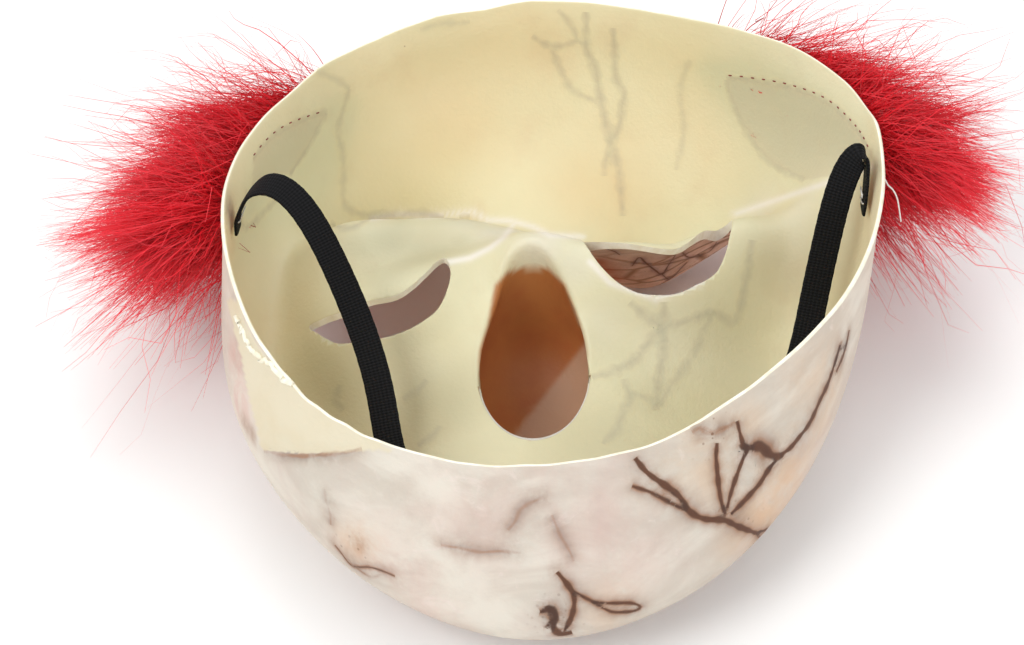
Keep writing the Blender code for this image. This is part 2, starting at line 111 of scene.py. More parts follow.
# Bumps of the face: centre, reach and push, as shares of half width, half length and depth
FACE_TABLE = (
    ("brow_right", (0.480, 0.360, 0.194), (0.430, 0.240, 1.250), (0.000, -0.035, -0.294)),
    ("brow_left", (-0.495, 0.495, 0.194), (0.409, 0.257, 1.250), (0.000, 0.010, -0.390)),
    ("glabella", (0.000, 0.419, 0.222), (0.280, 0.210, 1.250), (0.000, 0.019, -0.111)),
    ("lid_right", (0.387, 0.057, 0.333), (0.409, 0.210, 1.250), (0.000, 0.000, 0.375)),
    ("lid_right_outer", (0.640, 0.235, 0.333), (0.300, 0.180, 1.250), (0.000, 0.000, 0.600)),
    ("fold_right", (0.914, 0.190, 0.472), (0.344, 0.190, 0.833), (-0.032, 0.000, 0.480)),
    ("lid_left", (-0.495, 0.095, 0.333), (0.516, 0.381, 1.250), (0.000, 0.000, 0.278)),
    ("lid_left_low", (-0.495, -0.057, 0.333), (0.387, 0.171, 1.250), (0.000, 0.000, 0.111)),
    ("lid_left_inner", (-0.258, 0.076, 0.333), (0.194, 0.171, 1.250), (0.000, 0.000, 0.083)),
    ("ridge_left", (-0.323, 0.305, 0.194), (0.516, 0.190, 1.250), (0.000, 0.000, 0.319)),
    ("ridge_left_outer", (-0.645, 0.286, 0.278), (0.258, 0.229, 1.250), (0.000, 0.000, 0.264)),
    ("bridge", (0.000, 0.152, 0.361), (0.301, 0.229, 1.250), (0.000, 0.000, 0.236)),
    ("cheek_right", (0.559, -0.381, 0.194), (0.323, 0.248, 0.417), (0.022, -0.019, -0.097)),
    ("cheek_left", (-0.559, -0.400, 0.194), (0.323, 0.248, 0.417), (-0.022, -0.019, -0.097)),
    ("mouth", (0.000, -0.686, 0.194), (0.495, 0.095, 0.556), (0.000, 0.000, 0.111)),
)
# Outlines of the crescent eye holes, as shares of half width and half length
EYE_RIGHT = (
    (0.167, 0.133), (0.204, 0.030), (0.258, -0.030), (0.328, -0.058), (0.398, -0.058),
    (0.468, -0.040), (0.538, 0.008), (0.593, 0.057), (0.633, 0.124), (0.652, 0.196),
    (0.645, 0.256), (0.602, 0.264), (0.562, 0.204), (0.518, 0.138), (0.473, 0.086),
    (0.430, 0.065), (0.376, 0.057), (0.312, 0.065), (0.247, 0.086),
)
EYE_LEFT = (
    (-0.704, -0.005), (-0.668, -0.052), (-0.608, -0.105), (-0.538, -0.129), (-0.462, -0.138),
    (-0.392, -0.133), (-0.328, -0.114), (-0.274, -0.081), (-0.242, -0.024), (-0.237, 0.033),
    (-0.263, 0.081), (-0.312, 0.014), (-0.360, -0.029), (-0.414, -0.050), (-0.489, -0.046),
    (-0.575, -0.038), (-0.651, -0.014),
)
# Lower and upper end of their straight cut, as shares of the depth
EYE_CUT = (0.22, 0.86)
# centre as shares of half width, half length and depth, then the direction of its width
STRAP_TABLE = (
    (-0.898, 0.090, 0.830, 0.05, 0.97, -0.22),
    (-0.880, 0.108, 0.935, 0.20, 0.96, -0.10),
    (-0.826, 0.118, 1.060, 0.45, 0.88, 0.10),
    (-0.753, 0.092, 1.130, 0.45, 0.88, 0.15),
    (-0.680, 0.040, 1.120, 0.50, 0.84, 0.20),
    (-0.620, -0.022, 1.050, 0.62, 0.76, 0.20),
    (-0.576, -0.096, 0.931, 0.74, 0.66, 0.10),
    (-0.531, -0.155, 0.806, 0.86, 0.50, 0.05),
    (-0.494, -0.223, 0.694, 0.95, 0.30, 0.05),
    (-0.460, -0.300, 0.597, 0.99, 0.12, 0.05),
    (-0.438, -0.385, 0.530, 0.99, 0.02, 0.05),
    (-0.432, -0.475, 0.475, 0.99, 0.02, 0.05),
    (-0.428, -0.565, 0.430, 0.97, 0.22, 0.05),
    (-0.385, -0.645, 0.400, 0.80, 0.58, 0.05),
    (-0.280, -0.695, 0.405, 0.50, 0.86, 0.05),
    (-0.120, -0.718, 0.415, 0.20, 0.97, 0.10),
    (0.060, -0.720, 0.415, -0.05, 0.99, 0.10),
    (0.240, -0.695, 0.405, -0.30, 0.95, 0.10),
    (0.425, -0.660, 0.378, -0.52, 0.85, 0.05),
    (0.595, -0.575, 0.355, -0.66, 0.75, 0.05),
    (0.728, -0.465, 0.350, -0.74, 0.66, 0.08),
    (0.812, -0.338, 0.372, -0.82, 0.52, 0.12),
    (0.852, -0.222, 0.434, -0.88, 0.34, 0.20),
    (0.873, -0.127, 0.530, -0.90, 0.22, 0.22),
    (0.903, -0.077, 0.630, -0.90, 0.17, 0.22),
    (0.930, -0.033, 0.740, -0.90, 0.17, 0.22),
    (0.953, 0.015, 0.855, -0.88, 0.22, 0.22),
    (0.983, 0.068, 0.965, -0.80, 0.45, 0.20),
    (1.028, 0.112, 1.050, -0.60, 0.74, 0.10),
    (1.075, 0.118, 1.060, -0.30, 0.93, 0.00),
    (1.098, 0.085, 0.985, -0.05, 0.97, -0.20),
    (1.092, 0.045, 0.895, 0.00, 0.96, -0.28),
    (1.078, 0.020, 0.825, 0.00, 0.96, -0.28),
)
# first and last angle, drops at the ends, upper and lower drop in the middle, way out,
# reach of the locks, and their lean to the forehead, as a share of the lock length
PAD_RIGHT = dict(first=22.0, last=59.0, start=0.07, end=0.13, top=0.06, bottom=0.27,
                 way=1, reach=1.0, lean=-0.30)
PAD_LEFT = dict(first=158.0, last=121.0, start=0.08, end=0.13, top=0.06, bottom=0.27,
                way=-1, reach=1.15, lean=-0.02)

# Where design coordinates lie in the row frame: the nose rests on its flat
rest = next(m for m in frame["record"]["mounts"] if m["name"] == "nose_rest")
SHIFT = np.array((rest["pos_m"][0] - NOSE_NECK["x"] * HALF_WIDTH,
                  rest["pos_m"][1] - NOSE_BALL["y"] * HALF_LENGTH,
                  LATEX_WALL / 2))


def cubic(p0, p1, p2, p3, t):
    """Catmull-Rom between p1 and p2."""
    return 0.5 * (2 * p1 + (p2 - p0) * t + (2 * p0 - 5 * p1 + 4 * p2 - p3) * t * t
                  + (3 * p1 - p0 - 3 * p2 + p3) * t ** 3)


def through_ring(rows, angles):
    """Rows spaced evenly round a turn, read at the angles given in degrees."""
    rows = np.array(rows, float)
    place = np.asarray(angles, float) / 360.0 * len(rows)
    low = np.floor(place).astype(int)
    part = (place - low)[:, None]
    around = [rows[(low + k) % len(rows)] for k in (-1, 0, 1, 2)]
    return cubic(*around, part)


def through_knots(knots, shares):
    """A smooth open run through the knots, read at shares from 0 to 1."""
    knots = np.asarray(knots, float)
    ends = (2 * knots[:1] - knots[1:2], knots, 2 * knots[-1:] - knots[-2:-1])
    held = np.concatenate(ends)
    place = np.asarray(shares, float) * (len(knots) - 1)
    low = np.minimum(place.astype(int), len(knots) - 2)
    part = (place - low).reshape((-1,) + (1,) * (knots.ndim - 1))
    return cubic(*[held[low + k] for k in range(4)], part)


def neck_ring(angles):
    """The egg-shaped edge where the nose cavity opens."""
    n = NOSE_NECK
    x = n["x"] * HALF_WIDTH
    x = x + NOSE_NECK_HALF_WIDTH * np.cos(angles) * (1 - n["egg"] * np.sin(angles))
    away = (np.degrees(angles) - n["dent_angle"]) / n["dent_spread"]
    x = x + n["dent"] * NOSE_NECK_HALF_WIDTH * np.exp(-away ** 2)
    rise = NOSE_NECK_HALF_LENGTH * np.sin(angles)
    return np.stack([x, n["y"] * HALF_LENGTH + rise, n["z"] * DEPTH + n["slope"] * rise], -1)


def nose_rings(neck, angles):
    """Rings of the round nose, blended out of the neck and closing at its resting flat."""
    b = NOSE_BALL
    flat = math.radians(b["last_angle"])
    rings = []
    for i in range(1, NOSE_RINGS + 1):
        share = i / NOSE_RINGS
        polar = math.radians(b["first_angle"] + (b["last_angle"] - b["first_angle"]) * share)
        ball = np.stack([
            NOSE_NECK["x"] * HALF_WIDTH
            + NOSE_BALL_HALF_WIDTH * math.sin(polar) * np.cos(angles),
            b["y"] * HALF_LENGTH + NOSE_BALL_HALF_LENGTH * math.sin(polar) * np.sin(angles),
            np.full_like(angles, NOSE_BALL_HALF_DEPTH * (math.cos(polar) - math.cos(flat))),
        ], -1)
        blend = min(share / b["blend"], 1.0)
        blend = blend * blend * (3 - 2 * blend)
        rings.append(neck * (1 - blend) + ball * blend)
    return np.array(rings)


def face_push(net):
    """How far the bumps of the face table move each point."""
    sizes = np.array((HALF_WIDTH, HALF_LENGTH, DEPTH))
    moved = np.zeros_like(net)
    for _name, centre, reach, push in FACE_TABLE:
        away = (net / sizes - centre) / reach
        near = np.clip(1 - (away ** 2).sum(-1), 0, None) ** 2
        moved += near[..., None] * push * sizes
    return moved


def face_net():
    """The shell's middle surface as rings of points, from the rim to the nose tip."""
    angles = np.linspace(0, 2 * math.pi, RIM_POINTS, endpoint=False)
    table = through_ring(WALL_TABLE, np.degrees(angles))
    knots = []
    for column in range(0, 8, 2):
        reach, height = table[:, column], table[:, column + 1]
        knots.append(np.stack([
            HALF_WIDTH * reach * np.cos(angles),
            HALF_LENGTH * (POLE_SHARE_Y + reach * np.sin(angles)),
            DEPTH * height,
        ], -1))
    neck = neck_ring(angles)
    knots.append(neck)
    shares = 1 - (1 - np.linspace(0, 1, WALL_RINGS)) ** RING_CROWDING
    net = through_knots(knots, shares)
    net = net + face_push(net)
    for _ in range(SOFTENING_PASSES):
        inner = net[1:-1]
        beside = np.roll(net, 1, 1)[1:-1] + np.roll(net, -1, 1)[1:-1]
        net[1:-1] = 0.5 * inner + 0.125 * (net[:-2] + net[2:] + beside)
    net = np.concatenate([net, nose_rings(net[-1], angles)])
    net[..., 2] = np.maximum(net[..., 2], 0.0)
    return net


def net_mesh(net):
    """The net's points and triangles, split the short way, with the outside outwards."""
    rings, around = net.shape[:2]
    points = net.reshape(-1, 3)
    faces = []
    for i in range(rings - 1):
        for j in range(around):
            k = (j + 1) % around
            a, b = i * around + j, (i + 1) * around + j
            c, d = (i + 1) * around + k, i * around + k
            if np.linalg.norm(points[a] - points[c]) < np.linalg.norm(points[b] - points[d]):
                faces += [(a, b, c), (a, c, d)]
            else:
                faces += [(a, b, d), (b, c, d)]
    faces.append(tuple((rings - 1) * around + j for j in range(around))[::-1])
    return points, faces


def strap_corners(centre, across):
    """Both sides of the band at each step, square to its run."""
    run = np.gradient(centre, axis=0)
    run /= np.linalg.norm(run, axis=1)[:, None]
    across = across - (across * run).sum(1)[:, None] * run
    across /= np.linalg.norm(across, axis=1)[:, None]
    up = np.cross(across, run)
    corners = ((-1, -1), (1, -1), (1, 1), (-1, 1))
    return np.stack([centre + across * a * STRAP_WIDTH / 2 + up * b * STRAP_THICKNESS / 2
                     for a, b in corners], 1)


def keep_inside(centre, across, surface):
    """Eases the band and moves it off the latex wherever an edge comes too close to it."""
    least = LATEX_WALL / 2 + STRAP_ROOM
    for number in range(STRAP_PASSES):
        if number < STRAP_PASSES - 20:
            eased = centre.copy()
            eased[2:-2] = 0.5 * centre[2:-2] + 0.25 * (centre[1:-3] + centre[3:-1])
            centre = 0.7 * centre + 0.3 * eased
        corners = strap_corners(centre, across)
        moved = np.zeros_like(centre)
        for i, around in enumerate(corners):
            worst = 0.0
            for corner in list(around) + list((around + np.roll(around, 1, 0)) / 2):
                place, out, _face, _far = surface.find_nearest(Vector(corner))
                room = -(Vector(corner) - place).dot(out)
                if least - room > worst:
                    worst = least - room
                    moved[i] = -np.array(out) * worst
        spread = moved.copy()
        beside = 0.5 * (moved[:-2] + moved[2:])
        spread[1:-1] = np.where(moved[1:-1].any(1)[:, None], moved[1:-1], beside)
        centre = centre + spread
    return centre


def wall_outside(net, degrees, drop):
    """A point of the net's wall and the direction out of the mask there."""
    around = net.shape[1]
    place = degrees / 360.0 * around
    low = int(math.floor(place))
    part = place - low
    column = net[:, low % around] * (1 - part) + net[:, (low + 1) % around] * part
    before = net[:, (low - 1) % around]
    after = net[:, (low + 2) % around]
    ring = np.clip(np.interp(drop, net_drops(), np.arange(WALL_RINGS)), 0, WALL_RINGS - 2)
    row = int(ring)
    rest = ring - row
    point = column[row] * (1 - rest) + column[row + 1] * rest
    down = column[min(row + 2, WALL_RINGS - 1)] - column[max(row - 1, 0)]
    side = (after - before)[row]
    out = np.cross(side, down)
    out /= np.linalg.norm(out)
    if np.dot(out[:2], point[:2]) < 0:
        out = -out
    return point, out


def net_drops():
    """Each wall ring's distance from the rim, as a share of the whole way to the neck."""
    return 1 - (1 - np.linspace(0, 1, WALL_RINGS)) ** RING_CROWDING


def pad_place(pad, net, along, down):
    """A point of the wall under the leaf-shaped pad and the direction out of it."""
    width = math.sin(math.pi * min(max(along, 0.02), 0.98)) ** 0.7
    ends = pad["start"] + (pad["end"] - pad["start"]) * along
    high = ends + (pad["top"] - ends) * width
    low = ends + 0.012 + (pad["bottom"] - ends) * width
    degrees = pad["first"] + (pad["last"] - pad["first"]) * along
    return wall_outside(net, degrees, high + (low - high) * down)

# Camera of the photograph, in design coordinates
CAMERA_AZIMUTH = math.radians(5.0)
CAMERA_HEIGHT = math.radians(47.0)
CAMERA_ROLL = math.radians(7.0)
CAMERA_DISTANCE = 0.750
CAMERA_TARGET = np.array((-0.004, -0.020, 0.045))
FOCAL_PIXELS = 2640.0

back = np.array((math.sin(CAMERA_AZIMUTH) * math.cos(CAMERA_HEIGHT),
                 -math.cos(CAMERA_AZIMUTH) * math.cos(CAMERA_HEIGHT),
                 math.sin(CAMERA_HEIGHT)))
level = np.array((math.cos(CAMERA_AZIMUTH), math.sin(CAMERA_AZIMUTH), 0.0))
upward = np.cross(back, level)
right = level * math.cos(CAMERA_ROLL) - upward * math.sin(CAMERA_ROLL)
above = upward * math.cos(CAMERA_ROLL) + level * math.sin(CAMERA_ROLL)
eye = CAMERA_TARGET + back * CAMERA_DISTANCE


def sight(u, v):
    """The direction from the camera through a point of the photograph's frame."""
    ray = ((u - IMAGE_WIDTH / 2) / FOCAL_PIXELS * right
           - (v - IMAGE_HEIGHT / 2) / FOCAL_PIXELS * above - back)
    return ray / np.linalg.norm(ray)


def seen(points):
    """Where design points fall in the photograph's frame."""
    away = np.asarray(points) - eye
    far = -(away @ back)
    return np.stack([IMAGE_WIDTH / 2 + FOCAL_PIXELS * (away @ right) / far,
                     IMAGE_HEIGHT / 2 - FOCAL_PIXELS * (away @ above) / far], -1)


def place(points):
    """Design coordinates to the row frame."""
    return np.asarray(points) + SHIFT


def new_piece(name, points, faces, materials, indices=None, smooth=True):
    """A mesh in the row frame that rides on the mask."""
    mesh = bpy.data.meshes.new(name)
    points = place(points)
    mesh.vertices.add(len(points))
    mesh.vertices.foreach_set("co", points.astype(np.float32).ravel())
    sizes = np.array([len(f) for f in faces])
    mesh.loops.add(int(sizes.sum()))
    mesh.loops.foreach_set("vertex_index", np.concatenate([np.asarray(f) for f in faces]))
    mesh.polygons.add(len(faces))
    starts = np.concatenate([[0], np.cumsum(sizes)[:-1]])
    mesh.polygons.foreach_set("loop_start", starts.astype(np.int32))
    for entry in materials:
        mesh.materials.append(entry)
    if indices is not None:
        mesh.polygons.foreach_set("material_index", np.asarray(indices, np.int32))
    mesh.polygons.foreach_set("use_smooth", np.full(len(faces), smooth))
    mesh.update(calc_edges=True)
    mesh.validate()
    made = bpy.data.objects.new(name, mesh)
    bpy.context.scene.collection.objects.link(made)
    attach(made, "root")
    return made


def add_scalar(made, name, values):
    layer = made.data.attributes.new(name, "FLOAT", "POINT")
    layer.data.foreach_set("value", np.asarray(values, np.float32))


def add_vector(made, name, values):
    layer = made.data.attributes.new(name, "FLOAT_VECTOR", "POINT")
    layer.data.foreach_set("vector", np.asarray(values, np.float32).ravel())


def points_of(made):
    """A piece's vertices in design coordinates."""
    found = np.empty(len(made.data.vertices) * 3, np.float32)
    made.data.vertices.foreach_get("co", found)
    return found.reshape(-1, 3).astype(float) - SHIFT


# Materials


LATEX_GLOW = 0.27
GLOW_TINT = (1.0, 0.64, 0.40)


class Nodes:
    """Short calls for building one material's nodes."""

    def __init__(self, name, roughness=0.5):
        self.made = bpy.data.materials.new(name)
        self.made.use_nodes = True
        self.tree = self.made.node_tree
        self.shader = self.tree.nodes["Principled BSDF"]
        self.shader.inputs["Roughness"].default_value = roughness
        self.place = self.add("ShaderNodeTexCoord").outputs["Object"]

    def add(self, kind, **values):
        node = self.tree.nodes.new(kind)
        for key, value in values.items():
            setattr(node, key, value)
        return node

    def link(self, a, b):
        self.tree.links.new(a, b)

    def attribute(self, name):
        node = self.add("ShaderNodeAttribute", attribute_name=name)
        return node.outputs["Fac"]

    def stretched(self, scale, turn=(0, 0, 0)):
        node = self.add("ShaderNodeMapping")
        self.link(self.place, node.inputs["Vector"])
        node.inputs["Scale"].default_value = scale
        node.inputs["Rotation"].default_value = turn
        return node.outputs["Vector"]

    def noise(self, scale, detail=4.0, roughness=0.55, distortion=0.0, vector=None):
        node = self.add("ShaderNodeTexNoise")
        self.link(vector or self.place, node.inputs["Vector"])
        node.inputs["Scale"].default_value = scale
        node.inputs["Detail"].default_value = detail
        node.inputs["Roughness"].default_value = roughness
        node.inputs["Distortion"].default_value = distortion
        return node.outputs["Fac"]

    def cells(self, scale, feature="DISTANCE_TO_EDGE", vector=None):
        node = self.add("ShaderNodeTexVoronoi", feature=feature)
        self.link(vector or self.place, node.inputs["Vector"])
        node.inputs["Scale"].default_value = scale
        return node.outputs["Distance"]

    def ramp(self, source, low, high, first=0.0, last=1.0):
        node = self.add("ShaderNodeMapRange", interpolation_type="SMOOTHSTEP")
        self.link(source, node.inputs["Value"])
        node.inputs["From Min"].default_value = low
        node.inputs["From Max"].default_value = high
        node.inputs["To Min"].default_value = first
        node.inputs["To Max"].default_value = last
        return node.outputs["Result"]

    def math(self, kind, a, b):
        node = self.add("ShaderNodeMath", operation=kind)
        for number, value in enumerate((a, b)):
            if isinstance(value, (int, float)):
                node.inputs[number].default_value = value
            else:
                self.link(value, node.inputs[number])
        return node.outputs["Value"]

    def mix(self, share, a, b, kind="MIX"):
        node = self.add("ShaderNodeMix", data_type="RGBA", blend_type=kind)
        if isinstance(share, (int, float)):
            node.inputs[0].default_value = share
        else:
            self.link(share, node.inputs[0])
        for number, value in ((6, a), (7, b)):
            if isinstance(value, tuple):
                node.inputs[number].default_value = (*value, 1.0)
            else:
                self.link(value, node.inputs[number])
        return node.outputs[2]

    def colour(self, value):
        self.link(value, self.shader.inputs["Base Color"])

    def bump(self, height, strength, distance):
        node = self.add("ShaderNodeBump")
        node.inputs["Strength"].default_value = strength
        node.inputs["Distance"].default_value = distance
        self.link(height, node.inputs["Height"])
        self.link(node.outputs["Normal"], self.shader.inputs["Normal"])


def let_light_through(n, share, tint):
    """Mixes in thin latex's own translucence, which warms the shade below the mask."""
    through = n.add("ShaderNodeBsdfTranslucent")
    through.inputs["Color"].default_value = (*tint, 1.0)
    blend = n.add("ShaderNodeMixShader")
    blend.inputs["Fac"].default_value = share
    output = next(node for node in n.made.node_tree.nodes if node.type == "OUTPUT_MATERIAL")
    n.link(n.shader.outputs["BSDF"], blend.inputs[1])
    n.link(through.outputs["BSDF"], blend.inputs[2])
    n.link(blend.outputs["Shader"], output.inputs["Surface"])


def inside_material():
    """Bare latex: cream, faintly mottled, with grey lines and yellow blushes showing through,
    painted shade in the hollows and painted light on the ridges, crests and the lit side of the
    nose hollow.
    """
    n = Nodes("latex_inside", 0.5)
    base = n.mix(n.ramp(n.noise(16, 3), 0.35, 0.7), (0.89, 0.90, 0.63), (0.83, 0.83, 0.545))
    base = n.mix(n.ramp(n.noise(45, 5, 0.6), 0.52, 0.78, 0, 0.35), base, (0.70, 0.60, 0.38))
    warm = n.math("MULTIPLY", n.attribute("warm"), n.ramp(n.noise(22, 4), 0.3, 0.7, 0.35, 1))
    base = n.mix(warm, base, (0.80, 0.60, 0.30))
    base = n.mix(n.attribute("leaf"), base, (0.62, 0.58, 0.42))
    # painted shade: darker olive where the hollows and the underside of the ridge lie in shade
    base = n.mix(n.attribute("painted_shade"), base, (0.42, 0.42, 0.26))
    # painted light: a paler, bluish-white tone on the ridges and nose bridge where they face the
    # light
    base = n.mix(n.attribute("pale"), base, (0.78, 0.80, 0.70))
    # painted highlight: near-white along the crests where they catch the light
    base = n.mix(n.attribute("crest"), base, (0.97, 0.98, 0.90))
    nose = n.mix(n.ramp(n.noise(60, 5), 0.3, 0.72), (0.50, 0.205, 0.060), (0.42, 0.135, 0.042))
    # painted light: the paler tan lit lower side of the nose hollow
    nose = n.mix(n.attribute("nose_painted_light"), nose, (0.60, 0.40, 0.26))
    base = n.mix(n.attribute("nose"), base, nose)
    specks = n.ramp(n.cells(260, "F1"), 0.05, 0.09, 1, 0)
    rare = n.math("MULTIPLY", specks, n.ramp(n.noise(75, 2), 0.66, 0.7))
    base = n.mix(n.math("MULTIPLY", rare, 0.6), base, (0.25, 0.20, 0.13))
    ink = n.math("MULTIPLY", n.attribute("ink"), n.ramp(n.noise(320, 4), 0.25, 0.6, 0.45, 1))
    base = n.mix(ink, base, (0.33, 0.34, 0.28))
    n.colour(base)
    grain = n.math("ADD", n.noise(900, 3), n.math("MULTIPLY", n.noise(130, 4), 2.0))
    n.bump(grain, 0.25, 0.0006)
    let_light_through(n, LATEX_GLOW, GLOW_TINT)
    return n.made


def outside_material():
    """Painted latex: off-white with pink and brown washes, cracks, and the painted face."""
    n = Nodes("latex_painted", 0.55)
    brushed = n.noise(30, 6, 0.62, 0.6, n.stretched((1.0, 1.0, 2.2), (0.3, 0.2, 0.5)))
    base = n.mix(n.ramp(brushed, 0.36, 0.66), (0.80, 0.83, 0.76), (0.63, 0.64, 0.58))
    base = n.mix(n.ramp(n.noise(17, 5, 0.6, 0.4), 0.5, 0.74, 0, 0.6), base, (0.62, 0.53, 0.50))
    streaks = n.noise(85, 6, 0.7, 1.2, n.stretched((1.0, 0.5, 1.6), (0.2, 0.4, 1.0)))
    base = n.mix(n.ramp(streaks, 0.57, 0.72, 0, 0.55), base, (0.88, 0.86, 0.82))
    patchy = n.ramp(n.noise(70, 6, 0.7, 0.5), 0.32, 0.62, 0.25, 1)
    base = n.mix(n.math("MULTIPLY", n.attribute("stain_orange"), patchy), base, (0.80, 0.50, 0.26))
    base = n.mix(n.math("MULTIPLY", n.attribute("stain_pink"), patchy), base, (0.66, 0.27, 0.28))
    base = n.mix(n.math("MULTIPLY", n.attribute("stain_brown"), patchy), base, (0.20, 0.105, 0.06))
    folds = n.cells(62, vector=n.stretched((0.75, 1.0, 1.9), (0.4, 0.1, 0.2)))
    crease = n.math("MULTIPLY", n.ramp(folds, 0.0, 0.10, 1, 0), n.attribute("wrinkle"))
    skin = n.mix(n.ramp(n.noise(150, 6, 0.7), 0.35, 0.65), (0.78, 0.56, 0.48), (0.50, 0.31, 0.24))
    base = n.mix(n.math("MULTIPLY", n.attribute("wrinkle"), 0.85), base, skin)
    base = n.mix(n.math("MULTIPLY", crease, 0.9), base, (0.10, 0.04, 0.03))
    specks = n.ramp(n.cells(420, "F1"), 0.12, 0.22, 1, 0)
    dotted = n.math("MULTIPLY", specks, n.attribute("speckle"))
    base = n.mix(dotted, base, (0.13, 0.06, 0.035))
    red = n.mix(n.ramp(n.noise(90, 5), 0.3, 0.7), (0.52, 0.02, 0.03), (0.36, 0.012, 0.02))
    base = n.mix(n.attribute("red"), base, red)
    base = n.mix(n.attribute("dark"), base, (0.05, 0.022, 0.018))
    bare = n.mix(n.ramp(n.noise(40, 4), 0.35, 0.7), (0.80, 0.80, 0.63), (0.74, 0.71, 0.51))
    base = n.mix(n.attribute("bare"), base, bare)
    halo = n.ramp(n.attribute("ink"), 0.0, 0.55, 0, 0.75)
    base = n.mix(n.math("MULTIPLY", halo, patchy), base, (0.36, 0.19, 0.11))
    base = n.mix(n.ramp(n.attribute("ink"), 0.5, 0.85), base, (0.075, 0.036, 0.022))
    n.colour(base)
    relief = n.math("ADD", n.math("MULTIPLY", n.noise(48, 5), 2.2), n.noise(420, 4))
    relief = n.math("SUBTRACT", relief, n.math("MULTIPLY", crease, 3.0))
    n.bump(relief, 0.35, 0.0009)
    let_light_through(n, LATEX_GLOW, GLOW_TINT)
    return n.made


def edge_material():
    """The cut through the latex: pale, a little yellow, and lighter than the bare latex as a
    painted highlight where the cut edges catch the light.
    """
    n = Nodes("latex_cut", 0.5)
    # pale cut latex, partly its own colour and partly a painted highlight of the edge
    n.colour(n.mix(n.ramp(n.noise(300, 4), 0.3, 0.7), (0.96, 0.93, 0.80), (0.86, 0.80, 0.62)))
    n.bump(n.noise(1500, 3), 0.3, 0.0003)
    return n.made


def elastic_material():
    """Woven black elastic: fine cross ribs and a few lengthwise rubber threads."""
    n = Nodes("elastic_woven", 0.78)
    lay = n.add("ShaderNodeAttribute", attribute_name="lay")
    parts = n.add("ShaderNodeSeparateXYZ")
    n.link(lay.outputs["Vector"], parts.inputs["Vector"])
    along = n.math("SINE", n.math("MULTIPLY", parts.outputs["X"], 2 * math.pi / 0.00085), 0.0)
    across = n.math("SINE", n.math("MULTIPLY", parts.outputs["Y"], 2 * math.pi / 0.00115), 0.0)
    weave = n.math("ADD", n.math("MULTIPLY", along, 0.6), n.math("MULTIPLY", across, 0.5))
    tone = n.ramp(weave, -1.0, 1.0)
    fuzz = n.noise(2500, 3)
    base = n.mix(tone, (0.002, 0.002, 0.0025), (0.010, 0.010, 0.011))
    base = n.mix(n.ramp(fuzz, 0.55, 0.8, 0, 0.4), base, (0.024, 0.024, 0.025))
    n.colour(base)
    n.shader.inputs["Specular IOR Level"].default_value = 0.15
    n.shader.inputs["Sheen Weight"].default_value = 0.0
    n.shader.inputs["Sheen Roughness"].default_value = 0.5
    n.bump(n.math("ADD", weave, n.math("MULTIPLY", fuzz, 0.6)), 0.7, 0.0002)
    return n.made


def hair_material():
    """Red fibre: painted shade darkens the root where the tuft's core lies in shade, and a painted
    highlight makes the tips brighter and pinker.
    """
    n = Nodes("hair_fibre", 0.45)
    tone = n.attribute("tone")
    tip = n.attribute("tip")
    base = n.mix(tone, (0.48, 0.001, 0.006), (0.90, 0.010, 0.026))
    # painted highlight: brighter, pinker tips
    base = n.mix(n.ramp(tip, 0.25, 1.0, 0, 0.5), base, (0.95, 0.055, 0.085))
    # painted shade: darker roots in the tuft's core
    base = n.mix(n.ramp(tip, 0.0, 0.22, 0.5, 0), base, (0.20, 0.0, 0.006))
    n.colour(base)
    n.shader.inputs["Sheen Weight"].default_value = 0.08
    n.shader.inputs["Sheen Roughness"].default_value = 0.4
    n.shader.inputs["Sheen Tint"].default_value = (1.0, 0.35, 0.4, 1.0)
    return n.made


def plain_material(name, colour, darker, scale, roughness, metallic=0.0):
    n = Nodes(name, roughness)
    n.colour(n.mix(n.ramp(n.noise(scale, 4), 0.3, 0.7), colour, darker))
    n.shader.inputs["Metallic"].default_value = metallic
    n.bump(n.noise(scale * 3, 3), 0.2, 0.0002)
    return n.made


LATEX_INSIDE = inside_material()
LATEX_PAINTED = outside_material()
LATEX_CUT = edge_material()
ELASTIC = elastic_material()
HAIR = hair_material()
STEEL = plain_material("staple_steel", (0.62, 0.60, 0.56), (0.42, 0.38, 0.33), 700, 0.35, 0.9)
THREAD = plain_material("thread_white", (0.86, 0.84, 0.80), (0.70, 0.67, 0.62), 2500, 0.8)
STITCH = plain_material("stitch_red", (0.30, 0.03, 0.03), (0.16, 0.015, 0.015), 1800, 0.75)


# The shell


FINE_AROUND = 304
FINE_RINGS = 156
FINE_SOFTENING = 8
FOLD_SOFTENING = 14
FOLD_REACH = 10
FOLD_WALL = 0.05
THIN_EDGE = 0.62
THIN_REACH = 0.05

# Cut of the rim: angle about the pole in degrees, height above the smooth rim in mm
RIM_CUTS = ((0, 0.0), (20, 0.3), (33, -0.5), (45, 0.4), (58, 0.8), (66, -0.3), (78, 0.6),
            (88, 1.1), (96, -0.2), (104, 0.9), (115, -0.6), (126, 0.9), (140, -0.4),
            (158, 0.4), (176, 0.0), (192, -0.6), (206, 0.6), (222, -0.7), (240, 0.4),
            (262, -0.4), (285, 0.3), (305, -0.5), (322, 0.4), (342, -0.3), (360, 0.0))


def neck_ring_number():
    """Which ring of the fine net is the fold where the nose begins."""
    return (WALL_RINGS - 1) / (WALL_RINGS + NOSE_RINGS - 1) * (FINE_RINGS - 1)


